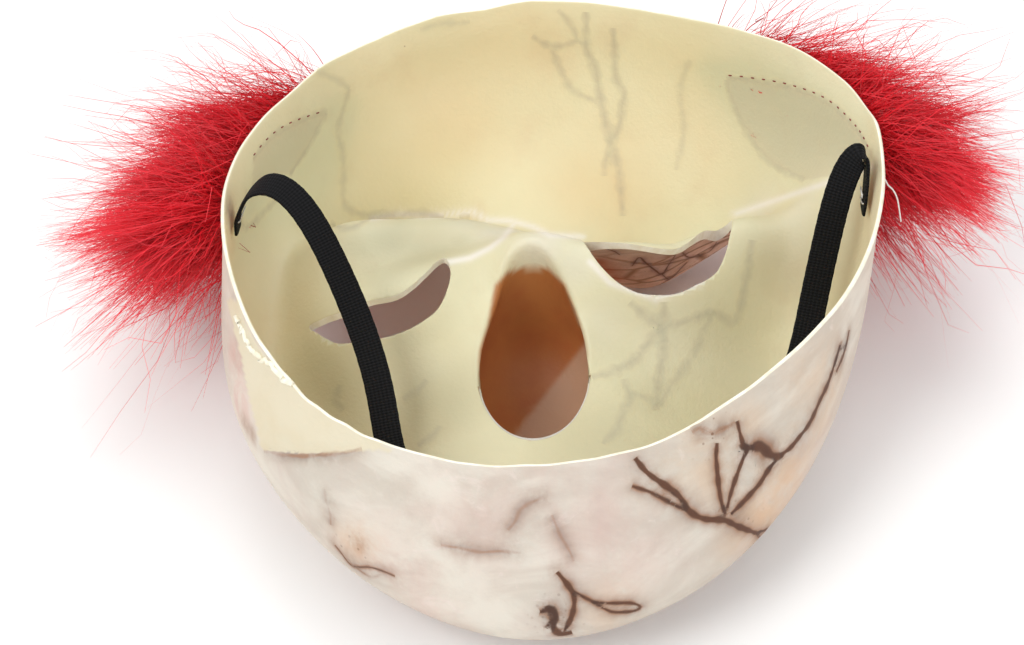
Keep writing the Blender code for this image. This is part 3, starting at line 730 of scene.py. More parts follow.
def refined(net):
    """The same surface on a net fine enough to look smooth, with its rim cut unevenly."""
    rings, around = net.shape[:2]
    angles = np.linspace(0, 360, FINE_AROUND, endpoint=False)
    flat = net.transpose(1, 0, 2).reshape(around, -1)
    turned = through_ring(flat, angles).reshape(FINE_AROUND, rings, 3).transpose(1, 0, 2)
    fine = through_knots(turned, np.linspace(0, 1, FINE_RINGS))
    for _ in range(FINE_SOFTENING):
        beside = np.roll(fine, 1, 1)[1:-1] + np.roll(fine, -1, 1)[1:-1]
        fine[1:-1] = 0.5 * fine[1:-1] + 0.125 * (fine[:-2] + fine[2:] + beside)
    fold = neck_ring_number()
    near_fold = np.exp(-((np.arange(FINE_RINGS) - fold) / FOLD_REACH) ** 2)[1:-1, None, None]
    for _ in range(FOLD_SOFTENING):
        fine[1:-1] += 0.25 * near_fold * (fine[:-2] + fine[2:] - 2 * fine[1:-1])
    table = np.array(RIM_CUTS)
    step = np.interp(angles, table[:, 0], table[:, 1]) * MM
    step = step + 0.00025 * np.sin(np.radians(angles * 23)) * np.sin(np.radians(angles * 7))
    torn = np.exp(-((angles - 214) / 16) ** 2) * 0.0009
    step = step + torn * np.sin(np.radians(angles * 31)) * np.sin(np.radians(angles * 13 + 40))
    fade = np.clip(1 - np.arange(FINE_RINGS) / 7.0, 0, 1)[:, None]
    fine[..., 2] += fade * step[None]
    fine[..., 2] = np.maximum(fine[..., 2], 0.0)
    return fine


def outward(fine):
    """Unit normals of a net, out of the mask."""
    around = np.roll(fine, -1, 1) - np.roll(fine, 1, 1)
    down = np.gradient(fine, axis=0)
    out = np.cross(down, around)
    out /= np.linalg.norm(out, axis=-1)[..., None] + 1e-12
    return out


def smooth_outline(outline, steps=9):
    """A closed outline in shares as a smooth run of points."""
    outline = np.array(outline)
    count = len(outline) * steps
    fine = through_ring(outline, np.linspace(0, 360, count, endpoint=False))
    return fine


def make_shell(net):
    """Both faces of the latex with a thin rounded rim and the eye holes cut through."""
    fine = refined(net)
    out = outward(fine)
    rings, around = fine.shape[:2]
    share = np.arange(rings) / (rings - 1)
    half = LATEX_WALL / 2 * (THIN_EDGE + (1 - THIN_EDGE) * np.clip(share / THIN_REACH, 0, 1))
    half = half[:, None, None]
    fold = np.exp(-((np.arange(rings) - neck_ring_number()) / FOLD_REACH) ** 2)
    squeezed = half * (1 - (1 - FOLD_WALL) * fold[:, None, None])
    outer, inner = fine + out * squeezed, fine - out * half
    outer[..., 2] = np.maximum(outer[..., 2], -LATEX_WALL / 2)
    top = (outer[0] + inner[0]) / 2
    rise = np.array((0, 0, 1.0)) * half[0] * 0.9
    lips = [outer[0] * 0.62 + top * 0.38 + rise * 0.75, top + rise,
            inner[0] * 0.62 + top * 0.38 + rise * 0.75]
    rows = np.concatenate([outer[::-1], np.array(lips), inner])
    count = len(rows)
    i, j = np.meshgrid(np.arange(count - 1), np.arange(around), indexing="ij")
    k = (j + 1) % around
    quads = np.stack([i * around + j, i * around + k, (i + 1) * around + k,
                      (i + 1) * around + j], -1).reshape(-1, 4)
    kinds = np.where(i < rings - 1, 1, np.where(i < rings + 2, 2, 0)).reshape(-1)
    faces = [tuple(q) for q in quads]
    faces.append(tuple(range(around))[::-1])
    faces.append(tuple((count - 1) * around + j for j in range(around)))
    kinds = np.concatenate([kinds, [1, 0]])
    made = new_piece("mask_latex", rows.reshape(-1, 3), faces,
                     [LATEX_INSIDE, LATEX_PAINTED, LATEX_CUT], kinds)
    for name, outline in (("cut_right", EYE_RIGHT), ("cut_left", EYE_LEFT)):
        cut_hole(made, name, outline)
    return made, fine, out


def cut_hole(made, name, outline):
    """Cuts one eye hole and leaves its wall in the colour of cut latex."""
    outline = smooth_outline(outline)
    wobble = np.sin(np.arange(len(outline)) * 0.61) * np.sin(np.arange(len(outline)) * 0.23)
    outline = outline * np.array((HALF_WIDTH, HALF_LENGTH)) * (1 + 0.0015 * wobble[:, None])
    count = len(outline)
    points = np.array([(x, y, z * DEPTH) for z in EYE_CUT for x, y in outline])
    x, y = outline.T
    turn = (x * np.roll(y, -1) - np.roll(x, -1) * y).sum()
    sides = [(i, (i + 1) % count, count + (i + 1) % count, count + i) for i in range(count)]
    faces = [tuple(range(count))[::-1], tuple(range(count, 2 * count))] + sides
    if turn < 0:
        faces = [face[::-1] for face in faces]
    mesh = bpy.data.meshes.new(name)
    mesh.from_pydata([tuple(p) for p in place(points)], [], faces)
    mesh.materials.append(LATEX_CUT)
    cutter = bpy.data.objects.new(name, mesh)
    bpy.context.scene.collection.objects.link(cutter)
    cut = made.modifiers.new(name, "BOOLEAN")
    cut.operation = "DIFFERENCE"
    cut.solver = "EXACT"
    cut.object = cutter
    cut.material_mode = "TRANSFER"
    bpy.context.view_layer.update()
    graph = bpy.context.evaluated_depsgraph_get()
    result = bpy.data.meshes.new_from_object(made.evaluated_get(graph))
    made.modifiers.clear()
    made.data = result
    bpy.data.objects.remove(cutter, do_unlink=True)
    print(name, "left", len(result.polygons), "faces", [m.name for m in result.materials])


net = face_net()
shell, fine_net, fine_out = make_shell(net)
shell_points = points_of(shell)
kinds = np.empty(len(shell.data.polygons), np.int32)
shell.data.polygons.foreach_get("material_index", kinds)
corner = np.empty(len(shell.data.loops), np.int32)
shell.data.loops.foreach_get("vertex_index", corner)
size = np.empty(len(shell.data.polygons), np.int32)
shell.data.polygons.foreach_get("loop_total", size)
is_inner = np.zeros(len(shell_points), bool)
is_inner[corner[np.repeat(kinds == 0, size)]] = True
is_outer = np.zeros(len(shell_points), bool)
is_outer[corner[np.repeat(kinds == 1, size)]] = True

ring_finder = KDTree(fine_net.shape[0] * fine_net.shape[1])
for number, spot in enumerate(fine_net.reshape(-1, 3)):
    ring_finder.insert(Vector(spot), number)
ring_finder.balance()


def ring_numbers(points):
    """The ring of the fine net that each point lies on."""
    return np.array([ring_finder.find(Vector(p))[1] // FINE_AROUND for p in points])


faces_flat = [tuple(p.vertices) for p in shell.data.polygons]
surface = BVHTree.FromPolygons([Vector(p) for p in shell_points], faces_flat)


def cast(u, v):
    """Where the camera's sight through a point of the frame meets the latex."""
    spot, out, face, _far = surface.ray_cast(Vector(eye), Vector(sight(u, v)))
    if spot is None:
        return None
    return np.array(spot), np.array(out), int(kinds[face])


# Painted fields, one value per vertex

# Blurred spots of the outside: u, v in the photograph's frame, radius in mm, strength
BROWN_SPOTS = ((700, 432, 3.2, 0.7), (722, 430, 4.0, 0.7), (745, 448, 4.5, 0.7),
               (768, 452, 4.0, 0.8), (735, 518, 5.0, 0.65), (760, 535, 4.0, 0.5),
               (800, 437, 4.0, 0.35), (815, 415, 4.0, 0.3), (840, 365, 4.0, 0.55),
               (838, 345, 3.0, 0.5), (351, 560, 4.0, 0.55), (360, 545, 3.5, 0.45),
               (375, 570, 3.0, 0.4), (553, 618, 4.5, 0.75), (566, 628, 3.0, 0.7),
               (572, 590, 2.5, 0.5), (640, 607, 3.0, 0.5), (650, 475, 4.0, 0.4),
               (690, 508, 4.5, 0.45), (505, 548, 5.0, 0.2), (530, 515, 5.0, 0.16),
               (245, 425, 3.5, 0.8), (252, 435, 3.0, 0.8))
ORANGE_SPOTS = ((758, 520, 12.0, 0.6), (785, 480, 13.0, 0.55), (720, 470, 12.0, 0.4),
                (815, 375, 14.0, 0.30), (805, 440, 12.0, 0.3), (356, 545, 7.0, 0.5),
                (770, 520, 9.0, 0.45), (795, 470, 9.0, 0.4), (785, 500, 8.0, 0.4),
                (830, 385, 8.0, 0.45), (745, 425, 8.0, 0.35), (670, 470, 9.0, 0.3),
                (715, 480, 9.0, 0.3), (610, 608, 8.0, 0.3), (820, 420, 8.0, 0.4),
                (700, 440, 8.0, 0.3))
PINK_SPOTS = ((745, 560, 8.0, 0.6), (768, 545, 7.0, 0.5), (690, 605, 7.0, 0.7),
              (700, 595, 7.0, 0.75), (672, 612, 7.0, 0.6), (730, 570, 6.0, 0.5),
              (400, 570, 16.0, 0.22), (480, 520, 18.0, 0.2), (236, 360, 9.0, 0.45),
              (240, 400, 9.0, 0.5), (580, 540, 16.0, 0.2), (430, 610, 12.0, 0.2),
              (545, 480, 14.0, 0.14), (630, 560, 14.0, 0.2))
SPECKLED = ((640, 272, 6.0, 0.8), (665, 282, 6.0, 0.9), (690, 268, 6.0, 0.9),
            (708, 252, 5.0, 0.8), (330, 330, 5.0, 0.5), (712, 430, 6.0, 0.9),
            (730, 424, 4.0, 0.8), (352, 552, 5.0, 0.7), (560, 612, 7.0, 0.5),
            (745, 510, 6.0, 0.5), (840, 360, 5.0, 0.6))
# Bare, unpainted corner of the rim, as an outline in the photograph's frame
BARE_CORNER = ((226, 300), (240, 352), (250, 400), (262, 450), (300, 454), (335, 453),
               (370, 450), (392, 452), (350, 418), (330, 404), (290, 380), (262, 352),
               (246, 322), (238, 300))
LEAF_RIGHT = ((726, 77), (747, 79), (788, 86), (827, 101), (857, 129), (872, 152),
              (852, 168), (830, 176), (804, 180), (781, 170), (765, 158), (747, 133), (728, 92))
LEAF_LEFT = ((253, 158), (276, 133), (294, 123), (327, 112), (310, 145), (292, 174),
             (270, 186), (252, 190))
RED_SPOTS = ((598, 262, 4.0, 0.95), (606, 270, 4.0, 0.95), (614, 278, 3.5, 0.8))
# Painted light: a paler, bluish-white tone on the nose bridge and along the ridges; u, v, radius
# in mm, strength
PAINTED_LIGHT_SPOTS = ((500, 232, 8.0, 0.6), (540, 247, 9.0, 0.6), (470, 222, 7.0, 0.4),
              (575, 262, 9.0, 0.4), (760, 215, 9.0, 0.45), (800, 205, 8.0, 0.35),
              (605, 320, 10.0, 0.25), (660, 320, 16.0, 0.2))
# Crests that catch the light, in the photograph's frame
RIDGES = (((372, 218), (400, 214), (425, 216), (450, 214), (473, 212), (487, 220), (510, 221),
           (533, 227), (550, 235), (582, 237)),
          ((448, 262), (470, 258), (490, 248), (505, 236), (512, 226)),
          ((735, 214), (765, 204), (800, 192), (850, 175), (872, 167)),
          ((590, 262), (610, 283), (655, 299), (700, 283), (724, 245)))
NOSE_LIP = ((522, 268), (548, 268), (565, 285), (578, 320), (586, 352), (584, 385), (572, 415),
            (550, 436), (530, 440), (510, 430), (490, 405), (480, 375), (480, 350), (488, 325),
            (492, 300), (495, 285), (508, 272))
CREST_REACH = 3.2
NOSE_BLUR = 1.4
NOSE_PAINT_RINGS = 32
# The edge between shade and light inside the nose
NOSE_SHADE_EDGE = ((515, 432), (588, 338))
WARM_SPOTS = ((600, 185, 22.0, 0.5), (450, 120, 26.0, 0.35), (300, 300, 18.0, 0.35),
              (700, 130, 22.0, 0.25), (500, 60, 20.0, 0.3), (430, 400, 16.0, 0.25))
# Painted shade inside the mask: darker olive patches in the hollows and under the ridge; u, v,
# radius in mm, strength
PAINTED_SHADE_SPOTS = ((455, 242, 7.0, 0.5), (400, 240, 12.0, 0.5), (355, 262, 14.0, 0.35),
              (430, 252, 16.0, 0.55), (440, 405, 18.0, 0.65), (610, 350, 12.0, 0.25),
              (410, 330, 14.0, 0.35), (790, 260, 18.0, 0.5), (640, 400, 16.0, 0.3),
              (330, 390, 22.0, 0.5), (350, 350, 16.0, 0.4), (720, 360, 26.0, 0.35),
              (600, 440, 20.0, 0.45), (440, 430, 22.0, 0.4), (760, 300, 18.0, 0.3))


def spots(table, points, chosen):
    """Soft round spots laid where the camera's sight meets the latex."""
    field = np.zeros(len(points))
    for u, v, radius, strength in table:
        met = cast(u, v)
        if met is None:
            continue
        away = np.linalg.norm(points - met[0], axis=1) / (radius * MM)
        field = np.maximum(field, strength * np.exp(-away ** 2))
    return np.where(chosen, field, 0.0)


def within(outline, where):
    """Which points of the frame lie inside an outline."""
    outline = np.array(outline, float)
    found = np.zeros(len(where), bool)
    for (x0, y0), (x1, y1) in zip(outline, np.roll(outline, -1, 0)):
        if y0 == y1:
            continue
        crossing = (where[:, 1] > min(y0, y1)) & (where[:, 1] <= max(y0, y1))
        found ^= crossing & (where[:, 0] < x0 + (where[:, 1] - y0) * (x1 - x0) / (y1 - y0))
    return found


def along_lines(lines, where, reach):
    """1 on a line of the photograph's frame, fading over a reach in its pixels."""
    nearest = np.full(len(where), 1e9)
    for line in lines:
        line = np.array(line, float)
        for start, end in zip(line[:-1], line[1:]):
            run = end - start
            share = np.clip(((where - start) @ run) / (run @ run), 0, 1)
            away = np.linalg.norm(where - start - share[:, None] * run, axis=1)
            nearest = np.minimum(nearest, away)
    return np.exp(-(nearest / reach) ** 2)


# Lines drawn on the latex, as points of the photograph's frame; the first entry is half
# the width in mm, the second the strength
CRACKS = (
    (0.45, 1.0, ((717, 443), (716, 456), (717, 469), (720, 496), (725, 514))),
    (0.45, 1.0, ((737, 421), (742, 441), (747, 450), (744, 456), (735, 480), (730, 496),
                 (727, 508))),
    (0.95, 1.0, ((742, 446), (750, 448), (760, 446), (768, 453), (776, 457), (782, 455))),
    (0.55, 1.0, ((780, 455), (790, 448), (799, 437), (807, 427), (813, 416), (820, 400),
                 (828, 383), (835, 362), (840, 345))),
    (0.55, 1.0, ((776, 460), (768, 470), (760, 483), (752, 492), (744, 501), (737, 508),
                 (731, 514))),
    (0.60, 1.0, ((635, 458), (642, 467), (650, 475), (669, 488), (680, 497), (689, 511),
                 (705, 519), (724, 520), (737, 526), (756, 533))),
    (0.45, 0.9, ((632, 486), (641, 489), (650, 492), (669, 502), (687, 511))),
    (0.45, 1.0, ((756, 533), (765, 530), (774, 525), (782, 519), (789, 512))),
    (0.40, 0.9, ((757, 534), (761, 540), (760, 547), (753, 554))),
    (0.50, 1.0, ((557, 572), (564, 580), (570, 588), (574, 595), (574, 606), (571, 618),
                 (565, 630))),
    (0.40, 0.9, ((574, 591), (584, 597), (595, 602), (606, 603), (616, 603), (632, 603),
                 (641, 607), (633, 611), (613, 612), (602, 607), (592, 602))),
    (0.70, 1.0, ((541, 612), (550, 608), (556, 616), (553, 626), (560, 634), (572, 632))),
    (0.55, 0.9, ((546, 606), (552, 618), (546, 628))),
    (0.35, 0.8, ((335, 545), (343, 555), (351, 565), (360, 567), (370, 567), (383, 571),
                 (395, 576))),
    (0.30, 0.6, ((351, 563), (361, 571), (371, 577), (380, 575))),
    (0.25, 0.35, ((552, 515), (556, 525), (560, 535), (568, 548), (574, 561))),
    (0.55, 0.9, ((849, 330), (846, 345), (842, 358), (836, 372))),
    (0.40, 0.8, ((846, 345), (838, 352), (835, 366))),
    (0.25, 0.4, ((325, 489), (326, 500), (330, 512), (331, 525))),
    (0.30, 0.55, ((264, 451), (280, 454), (300, 456), (318, 455), (340, 453), (362, 449))),
    (0.25, 0.4, ((441, 545), (460, 548), (480, 552), (500, 551), (521, 553))),
    (0.30, 0.35, ((508, 530), (515, 522), (520, 510), (530, 503), (544, 497))),
    (0.40, 0.6, ((692, 432), (700, 428), (712, 433), (722, 429), (735, 423))),
    (0.22, 0.9, ((582, 242), (592, 245), (603, 248), (614, 251), (620, 255))),
    (0.22, 0.9, ((632, 266), (639, 257), (645, 262), (655, 270), (662, 274), (669, 264),
                 (677, 253), (681, 251), (688, 257), (701, 255), (712, 249), (719, 236),
                 (723, 221))),
    (0.20, 0.9, ((662, 274), (668, 279), (673, 277), (680, 269), (687, 262))),
    (0.20, 0.8, ((704, 222), (699, 228), (691, 238), (684, 249))),
    (0.28, 0.9, ((376, 317), (386, 306), (401, 298), (411, 301), (424, 288), (441, 279))),
    (0.22, 0.8, ((318, 322), (330, 326), (343, 318), (360, 312))),
)
GREY_LINES = (
    (0.9, 0.42, ((586, 12), (586, 30), (586, 46), (595, 69), (601, 99), (609, 138),
                 (618, 165), (621, 190), (623, 216))),
    (0.8, 0.38, ((613, 28), (615, 52), (616, 78), (624, 92), (622, 108), (620, 124),
                 (611, 145), (606, 160), (604, 176))),
    (0.7, 0.34, ((532, 36), (545, 44), (560, 46), (577, 41))),
    (0.6, 0.30, ((558, 10), (566, 18), (574, 30), (578, 42))),
    (0.7, 0.32, ((552, 50), (560, 68), (570, 87), (582, 95), (594, 101))),
    (0.8, 0.30, ((349, 89), (343, 110), (338, 129), (342, 150), (344, 168), (343, 188),
                 (346, 206), (365, 215), (384, 211))),
    (0.7, 0.26, ((300, 60), (318, 72), (338, 80), (349, 89))),
    (0.6, 0.22, ((420, 30), (440, 24), (470, 22))),
    (0.9, 0.40, ((330, 224), (345, 228), (356, 226), (372, 218), (400, 215), (425, 214),
                 (452, 219), (470, 216))),
    (1.0, 0.42, ((630, 302), (645, 315), (661, 327), (655, 336), (647, 345), (632, 362),
                 (613, 371), (592, 377))),
    (1.0, 0.42, ((664, 302), (664, 327), (663, 352), (658, 383), (657, 406))),
    (0.9, 0.36, ((664, 327), (690, 320), (712, 312), (724, 318), (735, 322), (742, 300),
                 (747, 272), (752, 240))),
    (0.9, 0.34, ((712, 312), (704, 330), (697, 348), (684, 368), (670, 387), (660, 405))),
    (0.9, 0.36, ((624, 379), (628, 390), (630, 400), (622, 414), (617, 429), (603, 444))),
    (0.8, 0.30, ((630, 392), (640, 396), (651, 400), (655, 410))),
    (0.8, 0.30, ((427, 380), (418, 390), (403, 400))),
    (0.9, 0.34, ((440, 426), (432, 436), (418, 446))),
    (0.8, 0.28, ((340, 385), (336, 400), (344, 410))),
    (0.7, 0.24, ((690, 60), (680, 90), (684, 130), (676, 170))),
    (0.7, 0.34, ((726, 77), (747, 79), (768, 82), (788, 86), (808, 92), (827, 101),
                 (843, 114), (857, 129), (868, 147))),
    (0.7, 0.34, ((726, 80), (728, 92), (736, 112), (747, 133), (756, 147), (765, 158),
                 (781, 170), (804, 180))),
    (0.7, 0.34, ((253, 159), (264, 144), (276, 133), (294, 123), (310, 116), (326, 112),
                 (319, 128), (310, 145), (300, 160), (290, 174))),
    (0.8, 0.36, ((247, 190), (242, 206), (241, 220), (248, 227), (262, 214), (278, 197))),
)


def run_on_surface(line, kind, step=0.8):
    """A drawn line as evenly spaced points of the surface it is seen on."""
    line = np.array(line, float)
    shares = np.linspace(0, 1, max(len(line) * 10, 30))
    fine = through_knots(line, shares)
    runs, run = [], []
    for u, v in fine:
        met = cast(u, v)
        good = met is not None and met[2] == kind
        if good and run and np.linalg.norm(met[0] - run[-1][0]) > 6 * MM:
            good = False
            runs.append(run)
            run = [(met[0], met[1])]
            continue
        if good:
            run.append((met[0], met[1]))
        elif run:
            runs.append(run)
            run = []
    runs.append(run)
    spaced = []
    for run in runs:
        if len(run) < 4:
            continue
        places = np.array([p for p, _ in run])
        gone = np.concatenate([[0], np.cumsum(np.linalg.norm(np.diff(places, axis=0), axis=1))])
        if gone[-1] < 1.5 * MM:
            continue
        marks = np.linspace(0, gone[-1], max(int(gone[-1] / (step * MM)), 4))
        even = np.stack([np.interp(marks, gone, places[:, c]) for c in range(3)], 1)
        even[1:-1] = 0.5 * even[1:-1] + 0.25 * (even[:-2] + even[2:])
        spaced.append(even)
    return spaced


def make_lines(name, table, kind, profile, lift, material_used):
    """Narrow strips lying on the latex that carry the ink of the drawn lines."""
    points, faces, ink, drawn = [], [], [], []
    spread = np.array([p for p, _ in profile])
    inks = np.array([q for _, q in profile])
    whole = []
    for number, (half, strength, line) in enumerate(table):
        for run in run_on_surface(line, kind):
            whole.append(run)
            count = len(run)
            ahead = np.gradient(run, axis=0)
            ahead /= np.linalg.norm(ahead, axis=1)[:, None]
            ends = np.minimum(np.arange(count), np.arange(count)[::-1]) / max(count / 5, 2)
            taper = 0.7 + 0.3 * np.clip(ends, 0, 1)
            wave = np.sin(np.arange(count) * 0.9 + number) * np.sin(np.arange(count) * 0.37)
            wide = half * MM * LINE_WIDTHS[kind] * taper * (1 + 0.3 * wave)
            first = len(points)
            for i in range(count):
                spot, out, _face, _far = surface.find_nearest(Vector(run[i]))
                side = np.cross(np.array(out), ahead[i])
                for s in spread:
                    reach = run[i] + side * s * wide[i]
                    spot, normal, _face, _far = surface.find_nearest(Vector(reach))
                    points.append(np.array(spot) + np.array(normal) * lift)
                ink.extend(inks * strength * (0.75 + 0.25 * min(ends[i] * 2, 1)))
            drawn.append((run, wide, strength))
            wide_count = len(spread)
            for i in range(count - 1):
                for k in range(wide_count - 1):
                    a = first + i * wide_count + k
                    faces.append((a, a + 1, a + wide_count + 1, a + wide_count))
    points, ink = np.array(points), np.array(ink)
    for run, wide, strength in drawn:
        gaps = np.linalg.norm(points[:, None] - run, axis=2)
        nearest = gaps.argmin(1)
        share = gaps[np.arange(len(points)), nearest] / wide[nearest]
        ink = np.maximum(ink, strength * np.interp(share, spread[len(spread) // 2:],
                                                   inks[len(spread) // 2:]))
    made = new_piece(name, points, faces, [material_used])
    add_scalar(made, "ink", ink)
    return made, np.concatenate(whole)


LINE_WIDTHS = (1.45, 1.55)
CRACK_PROFILE = ((-3.2, 0.0), (-1.6, 0.28), (-0.8, 0.75), (0.0, 1.0), (0.8, 0.75),
                 (1.6, 0.28), (3.2, 0.0))
GREY_PROFILE = ((-1.6, 0.0), (-0.8, 0.6), (0.0, 1.0), (0.8, 0.6), (1.6, 0.0))
cracks, crack_points = make_lines("painted_cracks", CRACKS, 1, CRACK_PROFILE, 0.00006,
                                  LATEX_PAINTED)
greys, _ = make_lines("inner_lines", GREY_LINES, 0, GREY_PROFILE, 0.00005, LATEX_INSIDE)


def nearest_distance(points, others):
    far = np.full(len(points), 1.0)
    for start in range(0, len(points), 4000):
        part = points[start:start + 4000]
        gaps = np.linalg.norm(part[:, None] - others[None], axis=2)
        far[start:start + 4000] = gaps.min(1)
    return far


def egg(points, x, y, half_x, half_y):
    """Distance from an egg's middle, 1 on its edge."""
    return np.hypot((points[:, 0] - x) / half_x, (points[:, 1] - y) / half_y)


def soft(value, low, high):
    share = np.clip((value - low) / (high - low), 0, 1)
    return share * share * (3 - 2 * share)


def paint_fields(made, points, inner, outer):
    """Gives every vertex its share of each stain and of the painted face."""
    x, y, z = (points / MM).T
    frame_place = seen(points)
    rings = ring_numbers(points)
    neck = neck_ring_number()
    in_sight = within(NOSE_LIP, frame_place)
    from_lip = along_lines((NOSE_LIP + NOSE_LIP[:1],), frame_place, NOSE_BLUR)
    painted = np.where(in_sight, 1 - 0.5 * from_lip, 0.5 * from_lip)
    painted = painted * (rings > neck - NOSE_PAINT_RINGS)
    add_scalar(made, "nose", np.where(inner, np.maximum(painted, rings > neck + 10), 0))
    # Painted light: the lower side of the nose hollow, beyond the edge between shade and light, is
    # paler
    (u0, v0), (u1, v1) = NOSE_SHADE_EDGE
    beyond = ((frame_place[:, 0] - u0) * (v1 - v0) - (frame_place[:, 1] - v0) * (u1 - u0))
    beyond = beyond / math.hypot(u1 - u0, v1 - v0)
    add_scalar(made, "nose_painted_light", np.where(inner, soft(-beyond, -3, 5), 0))
    # painted light on the ridges and the nose bridge
    add_scalar(made, "pale", spots(PAINTED_LIGHT_SPOTS, points, inner))
    # painted highlight along the crests
    crest = along_lines(RIDGES, frame_place, CREST_REACH)
    add_scalar(made, "crest", np.where(inner, 0.9 * crest, 0))
    add_scalar(made, "warm", spots(WARM_SPOTS, points, inner))
    # painted shade in the hollows and under the ridge
    add_scalar(made, "painted_shade", spots(PAINTED_SHADE_SPOTS, points, inner))
    leaf = within(LEAF_RIGHT, frame_place) | within(LEAF_LEFT, frame_place)
    facing = points[:, 1] > 0.0
    add_scalar(made, "leaf", np.where(inner & leaf & facing, 0.45, 0))
    near = nearest_distance(points, crack_points[::3]) / MM
    halo = 0.5 * np.exp(-(near / 2.6) ** 2)
    brown = np.maximum(spots(BROWN_SPOTS, points, outer), np.where(outer, halo, 0))
    add_scalar(made, "stain_brown", brown)
    add_scalar(made, "stain_orange", spots(ORANGE_SPOTS, points, outer))
    add_scalar(made, "stain_pink", spots(PINK_SPOTS, points, outer))
    add_scalar(made, "speckle", spots(SPECKLED, points, outer))
    corner_bare = within(BARE_CORNER, frame_place) & (z > 30) & (x < -20)
    add_scalar(made, "bare", np.where(outer & corner_bare, 1.0, 0))
    # The painted face: nose ball, lips, eye sockets and brows
    ball = soft(rings, neck + 6, neck + 11)
    lips = egg(points, 0.0, -0.0715, 0.047, 0.0125)
    ring = soft(lips, 0.45, 0.6) * soft(lips, 1.1, 0.95) * (z < 40)
    red = np.maximum(np.where(outer, np.maximum(ball, ring * 0.95), 0),
                     spots(RED_SPOTS, points, outer))
    add_scalar(made, "red", red)
    eye_r = egg(points, 0.038, 0.006, 0.030, 0.017)
    eye_l = egg(points, -0.043, -0.004, 0.030, 0.016)
    socket = np.maximum(soft(eye_r, 1.2, 0.75), soft(eye_l, 1.2, 0.75)) * (z > 14)
    mouth = soft(lips, 0.5, 0.34) * (z < 40)
    add_scalar(made, "dark", np.where(outer, np.maximum(mouth * 0.9, socket * 0.22), 0))
    brow = soft(y, 8, 20) * soft(y, 62, 46) * soft(np.abs(x), 78, 64) * (z < 44)
    middle = 1 - 0.5 * soft(np.abs(x), 14, 4)
    cheeks = soft(egg(points, 0.055, -0.03, 0.03, 0.03), 1.0, 0.6)
    cheeks = np.maximum(cheeks, soft(egg(points, -0.055, -0.03, 0.03, 0.03), 1.0, 0.6))
    add_scalar(made, "wrinkle", np.where(outer, np.maximum(brow * middle, cheeks * 0.25), 0))
    add_scalar(made, "ink", np.zeros(len(points)))


paint_fields(shell, shell_points, is_inner, is_outer)
for strip, inner_side in ((cracks, False), (greys, True)):
    where = points_of(strip)
    held = np.empty(len(where), np.float32)
    strip.data.attributes["ink"].data.foreach_get("value", held)
    strip.data.attributes.remove(strip.data.attributes["ink"])
    flags = np.full(len(where), True)
    paint_fields(strip, where, flags & inner_side, flags & (not inner_side))
    strip.data.attributes["ink"].data.foreach_set("value", held)


# The torn edge of the bare corner

TORN_LINE = ((237, 318), (243, 331), (250, 345), (259, 357), (270, 365), (284, 381), (300, 387),
             (318, 403), (333, 411), (347, 425), (356, 436), (370, 447))
TORN_RADIUS = 0.0008


def torn_edge():
    """A narrow rolled lip of latex where the rim was torn."""
    random = np.random.default_rng(5)
    spots_met = []
    for u, v in through_knots(np.array(TORN_LINE, float), np.linspace(0, 1, 70)):
        u, v = (u, v) + random.normal(0, 1.3, 2)
        met = cast(u, v)
        if met is not None and (not spots_met
                                or np.linalg.norm(met[0] - spots_met[-1]) < 8 * MM):
            spots_met.append(met[0])
    join("torn_lip", [tube(np.array(spots_met), TORN_RADIUS, 7)], LATEX_CUT)


# The strap


def make_strap(net):
    rows = through_knots(STRAP_TABLE, np.linspace(0, 1, STRAP_STEPS + 1))
    points, faces = net_mesh(net)
    coarse = BVHTree.FromPolygons([Vector(p) for p in points], faces)
    centre = keep_inside(rows[:, :3] * SIZES, rows[:, 3:], coarse)
    fine = through_knots(np.concatenate([centre, rows[:, 3:]], 1), np.linspace(0, 1, 560))
    centre, across = fine[:, :3], fine[:, 3:]
    run = np.gradient(centre, axis=0)
    run /= np.linalg.norm(run, axis=1)[:, None]
    across = across - (across * run).sum(1)[:, None] * run
    across /= np.linalg.norm(across, axis=1)[:, None]
    up = np.cross(across, run)
    gone = np.concatenate([[0], np.cumsum(np.linalg.norm(np.diff(centre, axis=0), axis=1))])
    half_wide = STRAP_WIDTH / 2
    half_thick = STRAP_THICKNESS / 2 * 0.9
    section = []
    for k in range(21):
        share = -1 + 2 * k / 20
        section.append((share, 1 - 0.5 * abs(share) ** 6))
    section += [(s, -t) for s, t in section[::-1]]
    points, lay = [], []
    for i in range(len(centre)):
        pull = 1 + 0.008 * math.sin(i * 0.9) + 0.006 * math.sin(i * 2.3)
        for s, t in section:
            points.append(centre[i] + across[i] * s * half_wide * pull
                          + up[i] * t * half_thick)
            lay.append((gone[i], s * half_wide, t))
    count = len(section)
    faces = [tuple(range(count))]
    for i in range(len(centre) - 1):
        for k in range(count):
            m = (k + 1) % count
            faces.append((i * count + k, (i + 1) * count + k, (i + 1) * count + m,
                          i * count + m))
    last = (len(centre) - 1) * count
    faces.append(tuple(last + k for k in range(count))[::-1])
    made = new_piece("strap_elastic", np.array(points), faces, [ELASTIC])
    add_vector(made, "lay", lay)
    return made, centre, across


strap, strap_centre, strap_across = make_strap(net)


